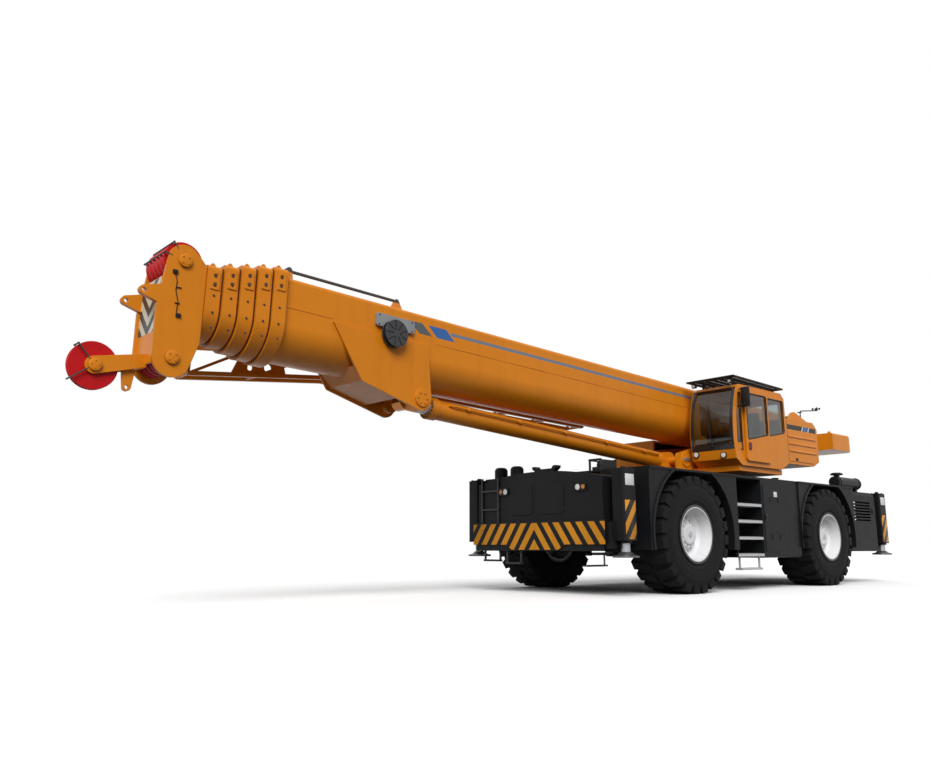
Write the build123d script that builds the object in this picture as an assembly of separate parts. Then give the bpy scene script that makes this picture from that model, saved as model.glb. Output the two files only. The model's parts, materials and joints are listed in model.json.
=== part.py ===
"""Two-axle rough-terrain crane with a six-section telescopic boom, stowed for the road."""
import os
from math import atan2, cos, degrees, hypot, pi, radians, sin, sqrt

from build123d import *

# Running gear, in millimetres: x forward and y to the left of the slewing axis, z above the ground
WHEELBASE = 4830
FRONT_AXLE_X = 2750
TYRE_DIAMETER = 1950
TYRE_WIDTH = 760
RIM_DIAMETER = 910
RIM_HALF_WIDTH = 345
RIM_FLANGE = 35
LUGS = 24
LUG_DEPTH = 45
WHEEL_Y = 1550
KINGPIN_INSET = 250
YOKE_GAP = 400
YOKE_PLATE = 60
KINGPIN_RADIUS = 110
SPINDLE_RADIUS = 130
AXLE_TUBE_RADIUS = 150
RUNNING_GAP = 10
SEAT_GAP = 0.3

# Carrier
TYRE_ROOM = 195
DECK_ROOM = 100
DECK_PLATE = 35
SKIRT = 35
LIP = 45
LIP_STAND = 20
FRAME_HALF_WIDTH = 430
FRAME_RISE = 285
FRAME_DROP = 200
NOSE_ROOM = 80
LADDER_POST = 185
STEP_WIDTH = 890
STEP_PITCH = 300
STEPS = 4
TREAD = 50
ENGINE_BAY = 1350
HOOD_WALL = 30
LOUVRES = 7

# Outriggers
CHANNEL_WIDTH = 300
CHANNEL_HEIGHT = 450
BOX_WALL = 20
BOX_HALF_LENGTH = 1480
BOX_DROP = 275
BUMPER = 25
BEAM_WALL = 16
BEAM_CLEARANCE = 15
JACK_COLUMN = 240
JACK_LENGTH = 330
JACK_SHIFT = 55
JACK_ROOM = 90
RAM_RADIUS = 75
FLOAT_RADIUS = 210
FLOAT_DROP = 100
TOW_LUG = 100
TOW_WIDTH = 80
TOW_HOLE = 32

# Superstructure
RING_RADIUS = 980
RING_WIDTH = 220
RING_HEIGHT = 65
FOOT_ROOM = 30
SIDE_PLATE = 40
PLATFORM = 100
CAB_WIDTH = 960
CAB_HEIGHT = 1580
CAB_FRONT_X = 850
CAB_REAR_X = -1200
CAB_WALL = 60
GLASS = 12
GLASS_DEPTH = 20
DOOR_FRONT_X = 470
DOOR_WIDTH = 880
DOOR_HEIGHT = 1400
DOOR_THICKNESS = 40
DOOR_TRAVEL = 720
GUARD_BARS = 6
TAIL_X = -3690
TAIL_LENGTH = 1060
COUNTERWEIGHT_HALF_WIDTH = 1400
COUNTERWEIGHT_HEIGHT = 380
COUNTERWEIGHT_RADIUS = 260
WINCH_PLATE_Y = 340
WINCH_PLATE = 35
MAIN_DRUM_RADIUS = 255
AUX_DRUM_RADIUS = 230
DRUM_FLANGE = 35
ROPE_DEPTH = 70

# Boom, measured along its own axis from the foot pin
FOOT_X = -2950
FOOT_RISE = 1175
ELEVATION = 2.03
BASE_HALF_WIDTH = 440
BOOM_HEIGHT = 1100
BOOM_BELOW_PIN = 502
BOOM_CORNER = 60
BOOM_WALL = 12
SECTION_STEP = 25
BASE_TAIL = 350
BASE_FRONT_U = 13000
COLLAR_PITCH = 211
COLLAR_STEP = 42
COLLAR_RISE = 45
BASE_COLLAR = 75
PAD_LENGTH = 120
SECTION_REAR_U = 350
SECTIONS = 6
FOOT_PIN_RADIUS = 100
FOOT_BOSS_RADIUS = 190
HEAD_PLATE_Y = 290
HEAD_PLATE = 40
SHEAVE_AHEAD = 290
SHEAVE_V = 480
SHEAVE_RADIUS = 250
LOWER_AHEAD = 330
LOWER_V = -760
LOWER_RADIUS = 165
NOSE_AHEAD = 1120
NOSE_V = -951
NOSE_RADIUS = 285
NOSE_GAP = 45
GROOVE = 40
PIN_RADIUS = 55
JIB_NEAR_Y = 650
JIB_WIDTH = 360
JIB_DEPTH = 430
JIB_CHORD = 60
JIB_BRACE = 40
JIB_BAYS = 8
JIB_LENGTH = 8000

# Lift cylinder
LIFT_BASE_X = 850
LIFT_BASE_RISE = 395
LIFT_PIN_BEHIND = 2550
LIFT_PIN_V = -700
BARREL_RADIUS = 160
ROD_RADIUS = 115
GLAND_LENGTH = 150
ROD_SHOWN = 470
LIFT_PIN_RADIUS = 75
LIFT_EYE_RADIUS = 130
CHEEK = 30

# Places that follow from the sizes above
AXLE_Z = TYRE_DIAMETER / 2
REAR_AXLE_X = FRONT_AXLE_X - WHEELBASE
KINGPIN_Y = WHEEL_Y - KINGPIN_INSET
ARCH_RADIUS = TYRE_DIAMETER / 2 + TYRE_ROOM
DECK_Z = TYRE_DIAMETER + DECK_ROOM
BODY_HALF_WIDTH = WHEEL_Y + TYRE_WIDTH / 2 - 25
FRAME_BOTTOM_Z = AXLE_Z + FRAME_RISE
FRAME_TOP_Z = DECK_Z - FRAME_DROP
FRAME_FRONT_X = FRONT_AXLE_X + ARCH_RADIUS + NOSE_ROOM
GUARD_REAR_X = REAR_AXLE_X - ARCH_RADIUS - NOSE_ROOM
FRAME_REAR_X = GUARD_REAR_X - ENGINE_BAY
LADDER_FRONT_X = FRONT_AXLE_X - ARCH_RADIUS - LADDER_POST
LADDER_REAR_X = LADDER_FRONT_X - STEP_WIDTH
TANK_REAR_X = REAR_AXLE_X + ARCH_RADIUS + 5
BOX_LENGTH = 2 * CHANNEL_WIDTH + 3 * BOX_WALL
BOX_BOTTOM_Z = AXLE_Z - BOX_DROP
BOX_TOP_Z = BOX_BOTTOM_Z + CHANNEL_HEIGHT + 2 * BOX_WALL
REAR_END_X = FRAME_REAR_X - BOX_LENGTH
FRONT_JACK_X = FRAME_FRONT_X + BOX_LENGTH / 2 + JACK_SHIFT
REAR_JACK_X = REAR_END_X + BOX_LENGTH / 2 - JACK_SHIFT
JACK_Y = BOX_HALF_LENGTH + JACK_ROOM + JACK_COLUMN / 2
JACK_BOTTOM_Z = BOX_BOTTOM_Z + 160
JACK_TOP_Z = DECK_Z - 70
FLOAT_Z = BOX_BOTTOM_Z - FLOAT_DROP
TOW_Z = BOX_BOTTOM_Z + 100
RING_BOTTOM_Z = DECK_Z - 40
RING_TOP_Z = RING_BOTTOM_Z + RING_HEIGHT
PLATFORM_TOP_Z = RING_TOP_Z + 225
SIDE_PLATE_Y = BASE_HALF_WIDTH + FOOT_ROOM
SIDE_OUTER_Y = SIDE_PLATE_Y + SIDE_PLATE
CAB_INNER_Y = SIDE_OUTER_Y + 130
CAB_OUTER_Y = CAB_INNER_Y + CAB_WIDTH
DOOR_REAR_X = DOOR_FRONT_X - DOOR_WIDTH
DOOR_BOTTOM_Z = PLATFORM_TOP_Z + 90
DOOR_TOP_Z = DOOR_BOTTOM_Z + DOOR_HEIGHT
FOOT_Z = RING_TOP_Z + FOOT_RISE
TAIL_END_X = TAIL_X - TAIL_LENGTH
COUNTERWEIGHT_TOP_Z = FOOT_Z + 80
COUNTERWEIGHT_BOTTOM_Z = COUNTERWEIGHT_TOP_Z - COUNTERWEIGHT_HEIGHT
MAIN_DRUM = (TAIL_X - MAIN_DRUM_RADIUS - 65, COUNTERWEIGHT_TOP_Z + MAIN_DRUM_RADIUS + 65)
AUX_DRUM = (MAIN_DRUM[0] - MAIN_DRUM_RADIUS - AUX_DRUM_RADIUS - 30, COUNTERWEIGHT_TOP_Z + AUX_DRUM_RADIUS + 50)
BOOM_BOTTOM_V = -BOOM_BELOW_PIN
BOOM_TOP_V = BOOM_BOTTOM_V + BOOM_HEIGHT
BASE_REAR_U = -BASE_TAIL
HEAD_U = BASE_FRONT_U + COLLAR_PITCH * (SECTIONS - 2) + RUNNING_GAP
SHEAVE_UV = (HEAD_U + SHEAVE_AHEAD, SHEAVE_V)
LOWER_UV = (HEAD_U + LOWER_AHEAD, LOWER_V)
NOSE_UV = (HEAD_U + NOSE_AHEAD, NOSE_V)
LIFT_BASE_Z = RING_TOP_Z + LIFT_BASE_RISE
LIFT_PIN_U = BASE_FRONT_U - LIFT_PIN_BEHIND

# The middle of the whole machine lies over the origin
NOSE_TIP_X = (FOOT_X + NOSE_UV[0] * cos(radians(ELEVATION)) - NOSE_UV[1] * sin(radians(ELEVATION))
              + NOSE_RADIUS)
MIDDLE_X = (NOSE_TIP_X + REAR_END_X - TOW_LUG) / 2


def box(x0, x1, y0, y1, z0, z1):
    """A block between two corners."""
    return Pos((x0 + x1) / 2, (y0 + y1) / 2, (z0 + z1) / 2) * Box(abs(x1 - x0), abs(y1 - y0), abs(z1 - z0))


def round_x(y, z, x0, x1, radius):
    """A round bar along x."""
    return Pos((x0 + x1) / 2, y, z) * Rot(0, 90, 0) * Cylinder(radius, abs(x1 - x0))


def round_y(x, z, y0, y1, radius):
    """A round bar along y."""
    return Pos(x, (y0 + y1) / 2, z) * Rot(90, 0, 0) * Cylinder(radius, abs(y1 - y0))


def round_z(x, y, z0, z1, radius):
    """A round bar along z."""
    return Pos(x, y, (z0 + z1) / 2) * Cylinder(radius, abs(z1 - z0))


def pulled(face, way):
    """A flat shape pulled into a solid."""
    if face.normal_at().dot(way) < 0:
        face = -face
    return Solid.extrude(face, way)


def plate_y(points, y0, y1):
    """A plate cut in side view, between two values of y."""
    outline = Wire.make_polygon([(x, y0, z) for x, z in points], close=True)
    return pulled(Face(outline), Vector(0, y1 - y0, 0))


def plate_x(points, x0, x1):
    """A plate cut in end view, between two values of x."""
    outline = Wire.make_polygon([(x0, y, z) for y, z in points], close=True)
    return pulled(Face(outline), Vector(x1 - x0, 0, 0))


def lug_plate(rounds, y0, y1):
    """A plate whose outline wraps like a belt round circles, given as (x, z, radius) anticlockwise."""
    ways = []
    count = len(rounds)
    for k in range(count):
        ax, az, ar = rounds[k]
        bx, bz, br = rounds[(k + 1) % count]
        length = hypot(bx - ax, bz - az)
        dx = (bx - ax) / length
        dz = (bz - az) / length
        lean = (ar - br) / length
        side = sqrt(1 - lean * lean)
        ways.append((dx * lean + dz * side, dz * lean - dx * side))
    edges = []
    for k in range(count):
        x, z, r = rounds[k]
        nx, nz, nr = rounds[(k + 1) % count]
        before = ways[k - 1]
        after = ways[k]
        start = (x + before[0] * r, y0, z + before[1] * r)
        end = (x + after[0] * r, y0, z + after[1] * r)
        if r > 0:
            first = atan2(before[1], before[0])
            turn = (atan2(after[1], after[0]) - first) % (2 * pi)
            middle = (x + r * cos(first + turn / 2), y0, z + r * sin(first + turn / 2))
            edges.append(Edge.make_three_point_arc(start, middle, end))
        edges.append(Edge.make_line(end, (nx + after[0] * nr, y0, nz + after[1] * nr)))
    return pulled(Face(Wire(edges)), Vector(0, y1 - y0, 0))


def rounded(shape, way, radius):
    """A shape with its edges along one axis rounded."""
    return fillet(shape.edges().filter_by(way), radius)


def drawn_in(face, distance):
    """A flat shape drawn in by a distance, corners kept sharp."""
    return offset(face, -distance, kind=Kind.INTERSECTION).face()


def strut(start, end, size):
    """A square bar between two points."""
    a = Vector(*start)
    b = Vector(*end)
    plane = Plane(origin=a, z_dir=b - a)
    return plane * Pos(0, 0, (b - a).length / 2) * Box(size, size, (b - a).length)


def both_sides(shape):
    """A shape and its mirror image across the long axis."""
    return [shape, mirror(shape, about=Plane.XZ)]


def turned(profile, x, y, z, side):
    """A ring about a crosswise axis: the profile is (radius, distance outboard)."""
    outline = Wire.make_polygon([(r, 0, w) for r, w in profile], close=True)
    ring = Solid.revolve(Face(outline), 360, Axis.Z)
    return Pos(x, y, z) * Rot(-90 * side, 0, 0) * ring


def boom_place(shape):
    """From the boom's own axes to the machine's."""
    return Location((FOOT_X, 0, FOOT_Z), (0, -ELEVATION, 0)) * shape


def boom_point(u, v):
    """A point of the boom in the machine's side view."""
    a = radians(ELEVATION)
    return FOOT_X + u * cos(a) - v * sin(a), FOOT_Z + u * sin(a) + v * cos(a)


def u_face(inset, u):
    """The boom's cross section, flat above and round below, drawn in by a distance."""
    half = BASE_HALF_WIDTH - inset
    top = BOOM_TOP_V - inset
    middle = BOOM_BOTTOM_V + BASE_HALF_WIDTH
    low = middle - half
    bend = half * sqrt(0.5)
    corner = BOOM_CORNER * (1 - sqrt(0.5))
    flat = half - BOOM_CORNER
    shoulder = top - BOOM_CORNER
    edges = [
        Edge.make_line((u, half, middle), (u, half, shoulder)),
        Edge.make_three_point_arc((u, half, shoulder), (u, half - corner, top - corner), (u, flat, top)),
        Edge.make_line((u, flat, top), (u, -flat, top)),
        Edge.make_three_point_arc((u, -flat, top), (u, corner - half, top - corner), (u, -half, shoulder)),
        Edge.make_line((u, -half, shoulder), (u, -half, middle)),
        Edge.make_three_point_arc((u, -half, middle), (u, -bend, middle - bend), (u, 0, low)),
        Edge.make_three_point_arc((u, 0, low), (u, bend, middle - bend), (u, half, middle)),
    ]
    return Face(Wire(edges))


def u_solid(inset, u0, u1):
    """A full bar of the boom's cross section."""
    return pulled(u_face(inset, u0), Vector(u1 - u0, 0, 0))


nodes = {}


def add(name, shape):
    """Keep a piece under its name."""
    solids = shape if isinstance(shape, list) else [shape]
    nodes[name] = Compound(children=[s for one in solids for s in one.solids()])


# Carrier frame with the slewing ring on its pedestal
def carrier_frame():
    half = FRAME_HALF_WIDTH
    front = RING_RADIUS + 270
    rear = -RING_RADIUS - 170
    beam = box(FRAME_REAR_X, FRAME_FRONT_X, -half, half, FRAME_BOTTOM_Z, FRAME_TOP_Z)
    pit = box(FRAME_REAR_X + 20, GUARD_REAR_X + HOOD_WALL, 40 - half, half - 40, FRAME_BOTTOM_Z + 30, DECK_Z)
    seat = box(rear, front, -RING_RADIUS + 200, RING_RADIUS - 200, FRAME_BOTTOM_Z, RING_BOTTOM_Z - 20)
    keel = plate_y([(rear + 350, FRAME_BOTTOM_Z), (rear + 550, FRAME_BOTTOM_Z - 360), (front - 200, FRAME_BOTTOM_Z - 360),
                    (front, FRAME_BOTTOM_Z)], -half, half)
    pedestal = round_z(0, 0, FRAME_TOP_Z, RING_BOTTOM_Z, RING_RADIUS - 60)
    bore = round_z(0, 0, RING_BOTTOM_Z, RING_TOP_Z, RING_RADIUS - RING_WIDTH)
    ring = round_z(0, 0, RING_BOTTOM_Z, RING_TOP_Z, RING_RADIUS) - bore
    frame = beam - pit + seat + keel + pedestal + ring
    middle_z = (FRAME_BOTTOM_Z + FRAME_TOP_Z) / 2
    for x in (front + 500, front + 1000, GUARD_REAR_X + 500):
        frame -= round_y(x, middle_z, -half - 5, -half + 60, 130) + round_y(x, middle_z, half - 60, half + 5, 130)
    add("carrier_frame", frame)


# Two crosswise boxes, each with two channels for the outrigger beams, and the front bumper plate
def channel_starts(x0):
    return [x0 + BOX_WALL, x0 + 2 * BOX_WALL + CHANNEL_WIDTH]


def beam_centre(x0, index):
    return channel_starts(x0)[index] + CHANNEL_WIDTH / 2


def outrigger_box(x0):
    x1 = x0 + BOX_LENGTH
    body = box(x0, x1, -BOX_HALF_LENGTH, BOX_HALF_LENGTH, BOX_BOTTOM_Z, BOX_TOP_Z)
    floor = BOX_BOTTOM_Z + BOX_WALL
    pad = floor + BEAM_CLEARANCE - SEAT_GAP
    for start in channel_starts(x0):
        end = start + CHANNEL_WIDTH
        body -= box(start, end, -BOX_HALF_LENGTH, BOX_HALF_LENGTH, floor, BOX_TOP_Z - BOX_WALL)
        for y in (-BOX_HALF_LENGTH, BOX_HALF_LENGTH - PAD_LENGTH):
            body += box(start + 2 * BEAM_CLEARANCE, end - 2 * BEAM_CLEARANCE, y, y + PAD_LENGTH, floor, pad)
    return body


def bumper():
    half = BOX_HALF_LENGTH + JACK_ROOM / 2
    low = BOX_BOTTOM_Z + 105
    dip = BOX_BOTTOM_Z + 10
    front = FRAME_FRONT_X + BOX_LENGTH
    outline = [(-half, BOX_TOP_Z), (-half, low), (-0.46 * half, low), (-0.34 * half, dip), (0.34 * half, dip),
               (0.46 * half, low), (half, low), (half, BOX_TOP_Z)]
    return plate_x(outline, front, front + BUMPER)


def outriggers():
    half = TOW_WIDTH / 2
    tip = REAR_END_X - TOW_LUG / 2
    lug = lug_plate([(tip, TOW_Z, TOW_LUG / 2), (REAR_END_X + 10, TOW_Z - 60, 0), (REAR_END_X + 10, TOW_Z + 60, 0)], -half, half)
    lug -= round_y(tip, TOW_Z, -half, half, TOW_HOLE)
    add("outrigger_boxes", [outrigger_box(FRAME_FRONT_X) + bumper(), outrigger_box(REAR_END_X) + lug])
    places = {
        "front_left": (beam_centre(FRAME_FRONT_X, 1), FRONT_JACK_X, 1),
        "front_right": (beam_centre(FRAME_FRONT_X, 0), FRONT_JACK_X, -1),
        "rear_left": (beam_centre(REAR_END_X, 0), REAR_JACK_X, 1),
        "rear_right": (beam_centre(REAR_END_X, 1), REAR_JACK_X, -1),
    }
    for name, (x, jack_x, side) in places.items():
        beam = outrigger_beam(x, jack_x)
        ram = jack_ram(jack_x)
        if side < 0:
            beam = mirror(beam, about=Plane.XZ)
            ram = mirror(ram, about=Plane.XZ)
        add("outrigger_beam_" + name, beam)
        add("outrigger_jack_" + name, ram)


def outrigger_beam(x, jack_x):
    half = CHANNEL_WIDTH / 2 - BEAM_CLEARANCE
    low = BOX_BOTTOM_Z + BOX_WALL + BEAM_CLEARANCE
    high = BOX_TOP_Z - BOX_WALL - BEAM_CLEARANCE
    inner = -BOX_HALF_LENGTH + 80
    tip = JACK_Y - JACK_COLUMN / 2
    beam = box(x - half, x + half, inner, tip + 40, low, high)
    beam -= box(x - half + BEAM_WALL, x + half - BEAM_WALL, inner, tip - 60, low + BEAM_WALL, high - BEAM_WALL)
    post = box(jack_x - JACK_LENGTH / 2, jack_x + JACK_LENGTH / 2, tip, tip + JACK_COLUMN, JACK_BOTTOM_Z, JACK_TOP_Z)
    beam += rounded(post, Axis.Z, 30)
    beam += round_z(jack_x, JACK_Y, JACK_BOTTOM_Z - 40, JACK_BOTTOM_Z, RAM_RADIUS + 35)
    beam -= round_z(jack_x, JACK_Y, JACK_BOTTOM_Z + 80, JACK_TOP_Z - 40, RAM_RADIUS + RUNNING_GAP)
    beam -= round_z(jack_x, JACK_Y, JACK_BOTTOM_Z - 200, JACK_BOTTOM_Z + 80, RAM_RADIUS + SEAT_GAP)
    return beam


def jack_ram(x):
    profile = [(0, 0), (FLOAT_RADIUS, 0), (FLOAT_RADIUS, 30), (FLOAT_RADIUS - 40, 42), (RAM_RADIUS + 60, 48),
               (RAM_RADIUS + 15, 90), (RAM_RADIUS, 90), (RAM_RADIUS, JACK_TOP_Z - 60 - FLOAT_Z),
               (0, JACK_TOP_Z - 60 - FLOAT_Z)]
    outline = Wire.make_polygon([(r, 0, h) for r, h in profile], close=True)
    return Pos(x, JACK_Y, FLOAT_Z) * Solid.revolve(Face(outline), 360, Axis.Z)


# Mudguards with round arches, deck plates above them
def mudguard(centre, rear, front, low):
    inner = BODY_HALF_WIDTH - SKIRT
    outer = BODY_HALF_WIDTH + LIP_STAND
    skirt = box(rear, front, inner, BODY_HALF_WIDTH, low, DECK_Z)
    lip = round_y(centre, AXLE_Z, inner - 90, outer, ARCH_RADIUS + LIP)
    lip &= box(rear, front, 0, 2 * WHEEL_Y, low, DECK_Z)
    skirt += lip
    skirt -= round_y(centre, AXLE_Z, FRAME_HALF_WIDTH, 2 * WHEEL_Y, ARCH_RADIUS)
    deck = box(rear, front, 5, outer, DECK_Z - DECK_PLATE, DECK_Z)
    skirt += deck
    return skirt - round_z(0, 0, RING_BOTTOM_Z - 200, DECK_Z + 50, RING_RADIUS + 30)


def mudguards():
    inner = BODY_HALF_WIDTH - SKIRT
    under = DECK_Z - DECK_PLATE
    near = FRAME_HALF_WIDTH - 230
    far = FRAME_HALF_WIDTH - 10
    low = FLOAT_Z + 120
    front = mudguard(FRONT_AXLE_X, LADDER_FRONT_X, FRAME_FRONT_X, low)
    front += box(FRAME_FRONT_X - HOOD_WALL, FRAME_FRONT_X, WHEEL_Y - 650, inner, low, DECK_Z)
    front += box(LADDER_FRONT_X, LADDER_FRONT_X + HOOD_WALL, WHEEL_Y - 50, inner, FLOAT_Z - 10, DECK_Z)
    front += box(RING_RADIUS + 520, FRAME_FRONT_X - 100, near, far, FRAME_TOP_Z, under)
    rear = mudguard(REAR_AXLE_X, GUARD_REAR_X, TANK_REAR_X, BOX_BOTTOM_Z + 60)
    rear += box(GUARD_REAR_X, GUARD_REAR_X + HOOD_WALL, WHEEL_Y - 650, inner, BOX_BOTTOM_Z + 60, DECK_Z)
    rear += box(GUARD_REAR_X + 80, -RING_RADIUS - 320, near, far, FRAME_TOP_Z, under)
    add("mudguards", both_sides(front) + both_sides(rear))


# Tanks and lockers between the wheels, and the steps ahead of them
def side_tanks():
    outer = BODY_HALF_WIDTH - 25
    inner = RING_RADIUS - 200
    top = DECK_Z - 40
    low = BOX_BOTTOM_Z - 130
    wall = 40
    tank = box(TANK_REAR_X, LADDER_REAR_X, inner, outer, low, top)
    tank = fillet(tank.edges().filter_by(Axis.X).group_by(Axis.Z)[0].sort_by(Axis.Y)[-1], 60)
    tank -= box(TANK_REAR_X + wall, LADDER_REAR_X - wall, inner - 80, outer - wall, low + wall, top - wall)
    tank += box(TANK_REAR_X, LADDER_FRONT_X, RING_RADIUS + 20, outer, top, DECK_Z)
    middle = (TANK_REAR_X + LADDER_REAR_X) / 2
    tank += box(middle, middle + wall, inner + 10, outer - 20, low + 70, top - 20)
    door = fillet(box(middle + 60, LADDER_REAR_X - 60, outer - 5, outer + 12, low + 110, top - 90).edges().filter_by(Axis.Y), 50)
    tank += door
    tank -= round_z(0, 0, FRAME_TOP_Z - 10, DECK_Z + 50, RING_RADIUS + 30)
    add("side_tanks", both_sides(tank))


def hanging_step(y0, y1, top, low, x0, x1):
    """A tread hung on two flat bars, across the machine."""
    tread = box(x0, x1, y0, y1, low, low + 35)
    for y in (y0, y1 - 30):
        tread += box((x0 + x1) / 2 - 15, (x0 + x1) / 2 + 15, y, y + 30, low, top)
    return tread


def access_steps():
    outer = BODY_HALF_WIDTH - 30
    top_step = DECK_Z - 500
    steps = []
    for k in range(STEPS):
        top = top_step - STEP_PITCH * k
        tread = box(LADDER_REAR_X, LADDER_FRONT_X, outer - 275, outer, top - TREAD, top)
        if k == STEPS - 1:
            for x in (LADDER_REAR_X + 95, LADDER_FRONT_X - 125):
                tread += box(x, x + 30, outer - 75, outer - 45, top - 280, top - 40)
            tread += box(LADDER_REAR_X + 95, LADDER_FRONT_X - 95, outer - 145, outer, top - 290, top - 250)
        steps += both_sides(tread)
    front = FRAME_FRONT_X + BOX_LENGTH
    ladder = []
    for y in (-1350, -930):
        ladder.append(box(front - 40, front - 10, y, y + 30, BOX_TOP_Z, DECK_Z - 60))
    for z in (BOX_TOP_Z + 220, BOX_TOP_Z + 550):
        ladder.append(box(front - 40, front - 5, -1350, -900, z, z + 30))
    steps.append(ladder[0].fuse(*ladder[1:]))
    under = BOX_BOTTOM_Z
    steps.append(hanging_step(-1300, -885, under, under - 185, front - 90, front - 10))
    steps.append(hanging_step(-735, -365, under, under - 225, front - 90, front - 10))
    add("access_steps", steps)


# Front housing above the bumper with a crowned top, engine hood and engine behind the rear axle
def crowned_face(x, half, low, edge, crown):
    edges = [
        Edge.make_line((x, -half, low), (x, half, low)),
        Edge.make_line((x, half, low), (x, half, edge)),
        Edge.make_three_point_arc((x, half, edge), (x, 0, crown), (x, -half, edge)),
        Edge.make_line((x, -half, edge), (x, -half, low)),
    ]
    return Face(Wire(edges))


def front_housing():
    half = BOX_HALF_LENGTH - 30
    front = FRAME_FRONT_X + BOX_LENGTH - 40
    crown = DECK_Z - 10
    edge = DECK_Z - 170
    shell = pulled(crowned_face(FRAME_FRONT_X, half, BOX_TOP_Z, edge, crown), Vector(front - FRAME_FRONT_X, 0, 0))
    hollow = crowned_face(FRAME_FRONT_X, half - 40, BOX_TOP_Z, edge - 40, crown - 40)
    shell -= pulled(hollow, Vector(front - 40 - FRAME_FRONT_X, 0, 0))
    for y in (-360, 360):
        panel = box(front - 5, front + 12, y - 270, y + 270, BOX_TOP_Z + 120, edge - 60)
        shell += fillet(panel.edges().filter_by(Axis.X), 60)
    add("front_housing", shell)


def louvre_cuts(x0, x1, y0, y1, low, high):
    """A ladder of slots through a wall."""
    pitch = (high - low) / LOUVRES
    return [box(x0, x1, y0, y1, low + pitch * k, low + pitch * (k + 0.55)) for k in range(LOUVRES)]


def engine_hood():
    x0 = FRAME_REAR_X
    x1 = GUARD_REAR_X
    half = BOX_HALF_LENGTH + 300
    top = DECK_Z - 60
    low = BOX_BOTTOM_Z - 20
    hood = box(x0, x1, -half, half, low, top)
    hood = fillet(hood.edges().filter_by(Axis.X).group_by(Axis.Z)[-1], 120)
    hood -= box(x0 + HOOD_WALL, x1, -half + HOOD_WALL, half - HOOD_WALL, low, top - HOOD_WALL)
    hood -= box(x0, x1, -BOX_HALF_LENGTH - 20, BOX_HALF_LENGTH + 20, low, BOX_TOP_Z)
    hood -= box(x0, x1, -FRAME_HALF_WIDTH, FRAME_HALF_WIDTH, low, FRAME_TOP_Z)
    for y0, y1 in ((FRAME_HALF_WIDTH + 80, BOX_HALF_LENGTH - 130), (130 - BOX_HALF_LENGTH, -FRAME_HALF_WIDTH - 80)):
        for slot in louvre_cuts(x0 - 5, x0 + HOOD_WALL + 5, y0, y1, BOX_TOP_Z + 120, top - 150):
            hood -= slot
    for side in (1, -1):
        for slot in louvre_cuts(x0 + 250, x1 - 200, side * (half - 60), side * (half + 5), BOX_TOP_Z + 150, top - 200):
            hood -= slot
    add("engine_hood", hood)
    add("engine", box(x0 + 150, x1 - 120, -FRAME_HALF_WIDTH + 100, FRAME_HALF_WIDTH - 100, FRAME_BOTTOM_Z + 30, top - 60))


def air_intake():
    deck = DECK_Z - 60
    y = BOX_HALF_LENGTH
    x0 = FRAME_REAR_X + 170
    x1 = GUARD_REAR_X - 90
    pot_z = deck + 200
    cleaner = round_x(y, pot_z, x0, x1, 125) + round_x(y, pot_z, x0 + 40, x0 + 70, 138)
    cleaner += round_x(y, pot_z, x1 - 110, x1 - 80, 138)
    exhaust = round_x(-y + 130, pot_z - 10, x0 + 20, x1 - 60, 130)
    for x in (x0 + 100, x1 - 200):
        cleaner += box(x, x + 60, y - 60, y + 60, deck, pot_z - 70)
        exhaust += box(x, x + 60, 70 - y, 190 - y, deck, pot_z - 80)
    cap = [(0, 0), (60, 0), (60, 150), (130, 160), (135, 185), (90, 210), (0, 215)]
    outline = Wire.make_polygon([(r, 0, h) for r, h in cap], close=True)
    cleaner += Pos(x1 - 140, y, pot_z) * Solid.revolve(Face(outline), 360, Axis.Z)
    exhaust += round_z(x1 - 180, -y + 130, pot_z, pot_z + 200, 55)
    exhaust -= round_z(x1 - 180, -y + 130, pot_z + 20, pot_z + 200, 45)
    add("air_intake", [cleaner, exhaust])


# Axle housings, steering knuckles, rims and lugged tyres
def axle_housing(x):
    reach = KINGPIN_Y - KINGPIN_RADIUS - 60
    gap = YOKE_GAP / 2
    axle = round_y(x, AXLE_Z, -reach, reach, AXLE_TUBE_RADIUS)
    bulge = [(0, -330), (150, -330), (225, -220), (235, 0), (235, 180), (170, 300), (120, 330), (0, 330)]
    outline = Wire.make_polygon([(r, 0, h) for r, h in bulge], close=True)
    axle += Pos(x, 0, AXLE_Z) * Rot(0, 90, 0) * Solid.revolve(Face(outline), 360, Axis.Z)
    for side in (1, -1):
        axle += box(x - 160, x + 160, side * (FRAME_HALF_WIDTH - 180), side * (FRAME_HALF_WIDTH - 30), AXLE_Z, FRAME_BOTTOM_Z)
        axle += box(x - KINGPIN_RADIUS, x + KINGPIN_RADIUS, side * (reach - 50), side * reach, AXLE_Z - gap - YOKE_PLATE,
                    AXLE_Z + gap + YOKE_PLATE)
        for low in (AXLE_Z - gap - YOKE_PLATE, AXLE_Z + gap):
            axle += box(x - 105, x + 105, side * (reach - 50), side * KINGPIN_Y, low, low + YOKE_PLATE)
            axle += round_z(x, side * KINGPIN_Y, low, low + YOKE_PLATE, 105)
    return axle


def knuckle(x, side):
    reach = YOKE_GAP / 2 - SEAT_GAP
    body = round_z(x, KINGPIN_Y, AXLE_Z - reach, AXLE_Z + reach, KINGPIN_RADIUS)
    body += round_y(x, AXLE_Z, KINGPIN_Y, WHEEL_Y - 70, SPINDLE_RADIUS + 60)
    body += round_y(x, AXLE_Z, KINGPIN_Y, WHEEL_Y + 150, SPINDLE_RADIUS)
    return body if side > 0 else mirror(body, about=Plane.XZ)


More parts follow.
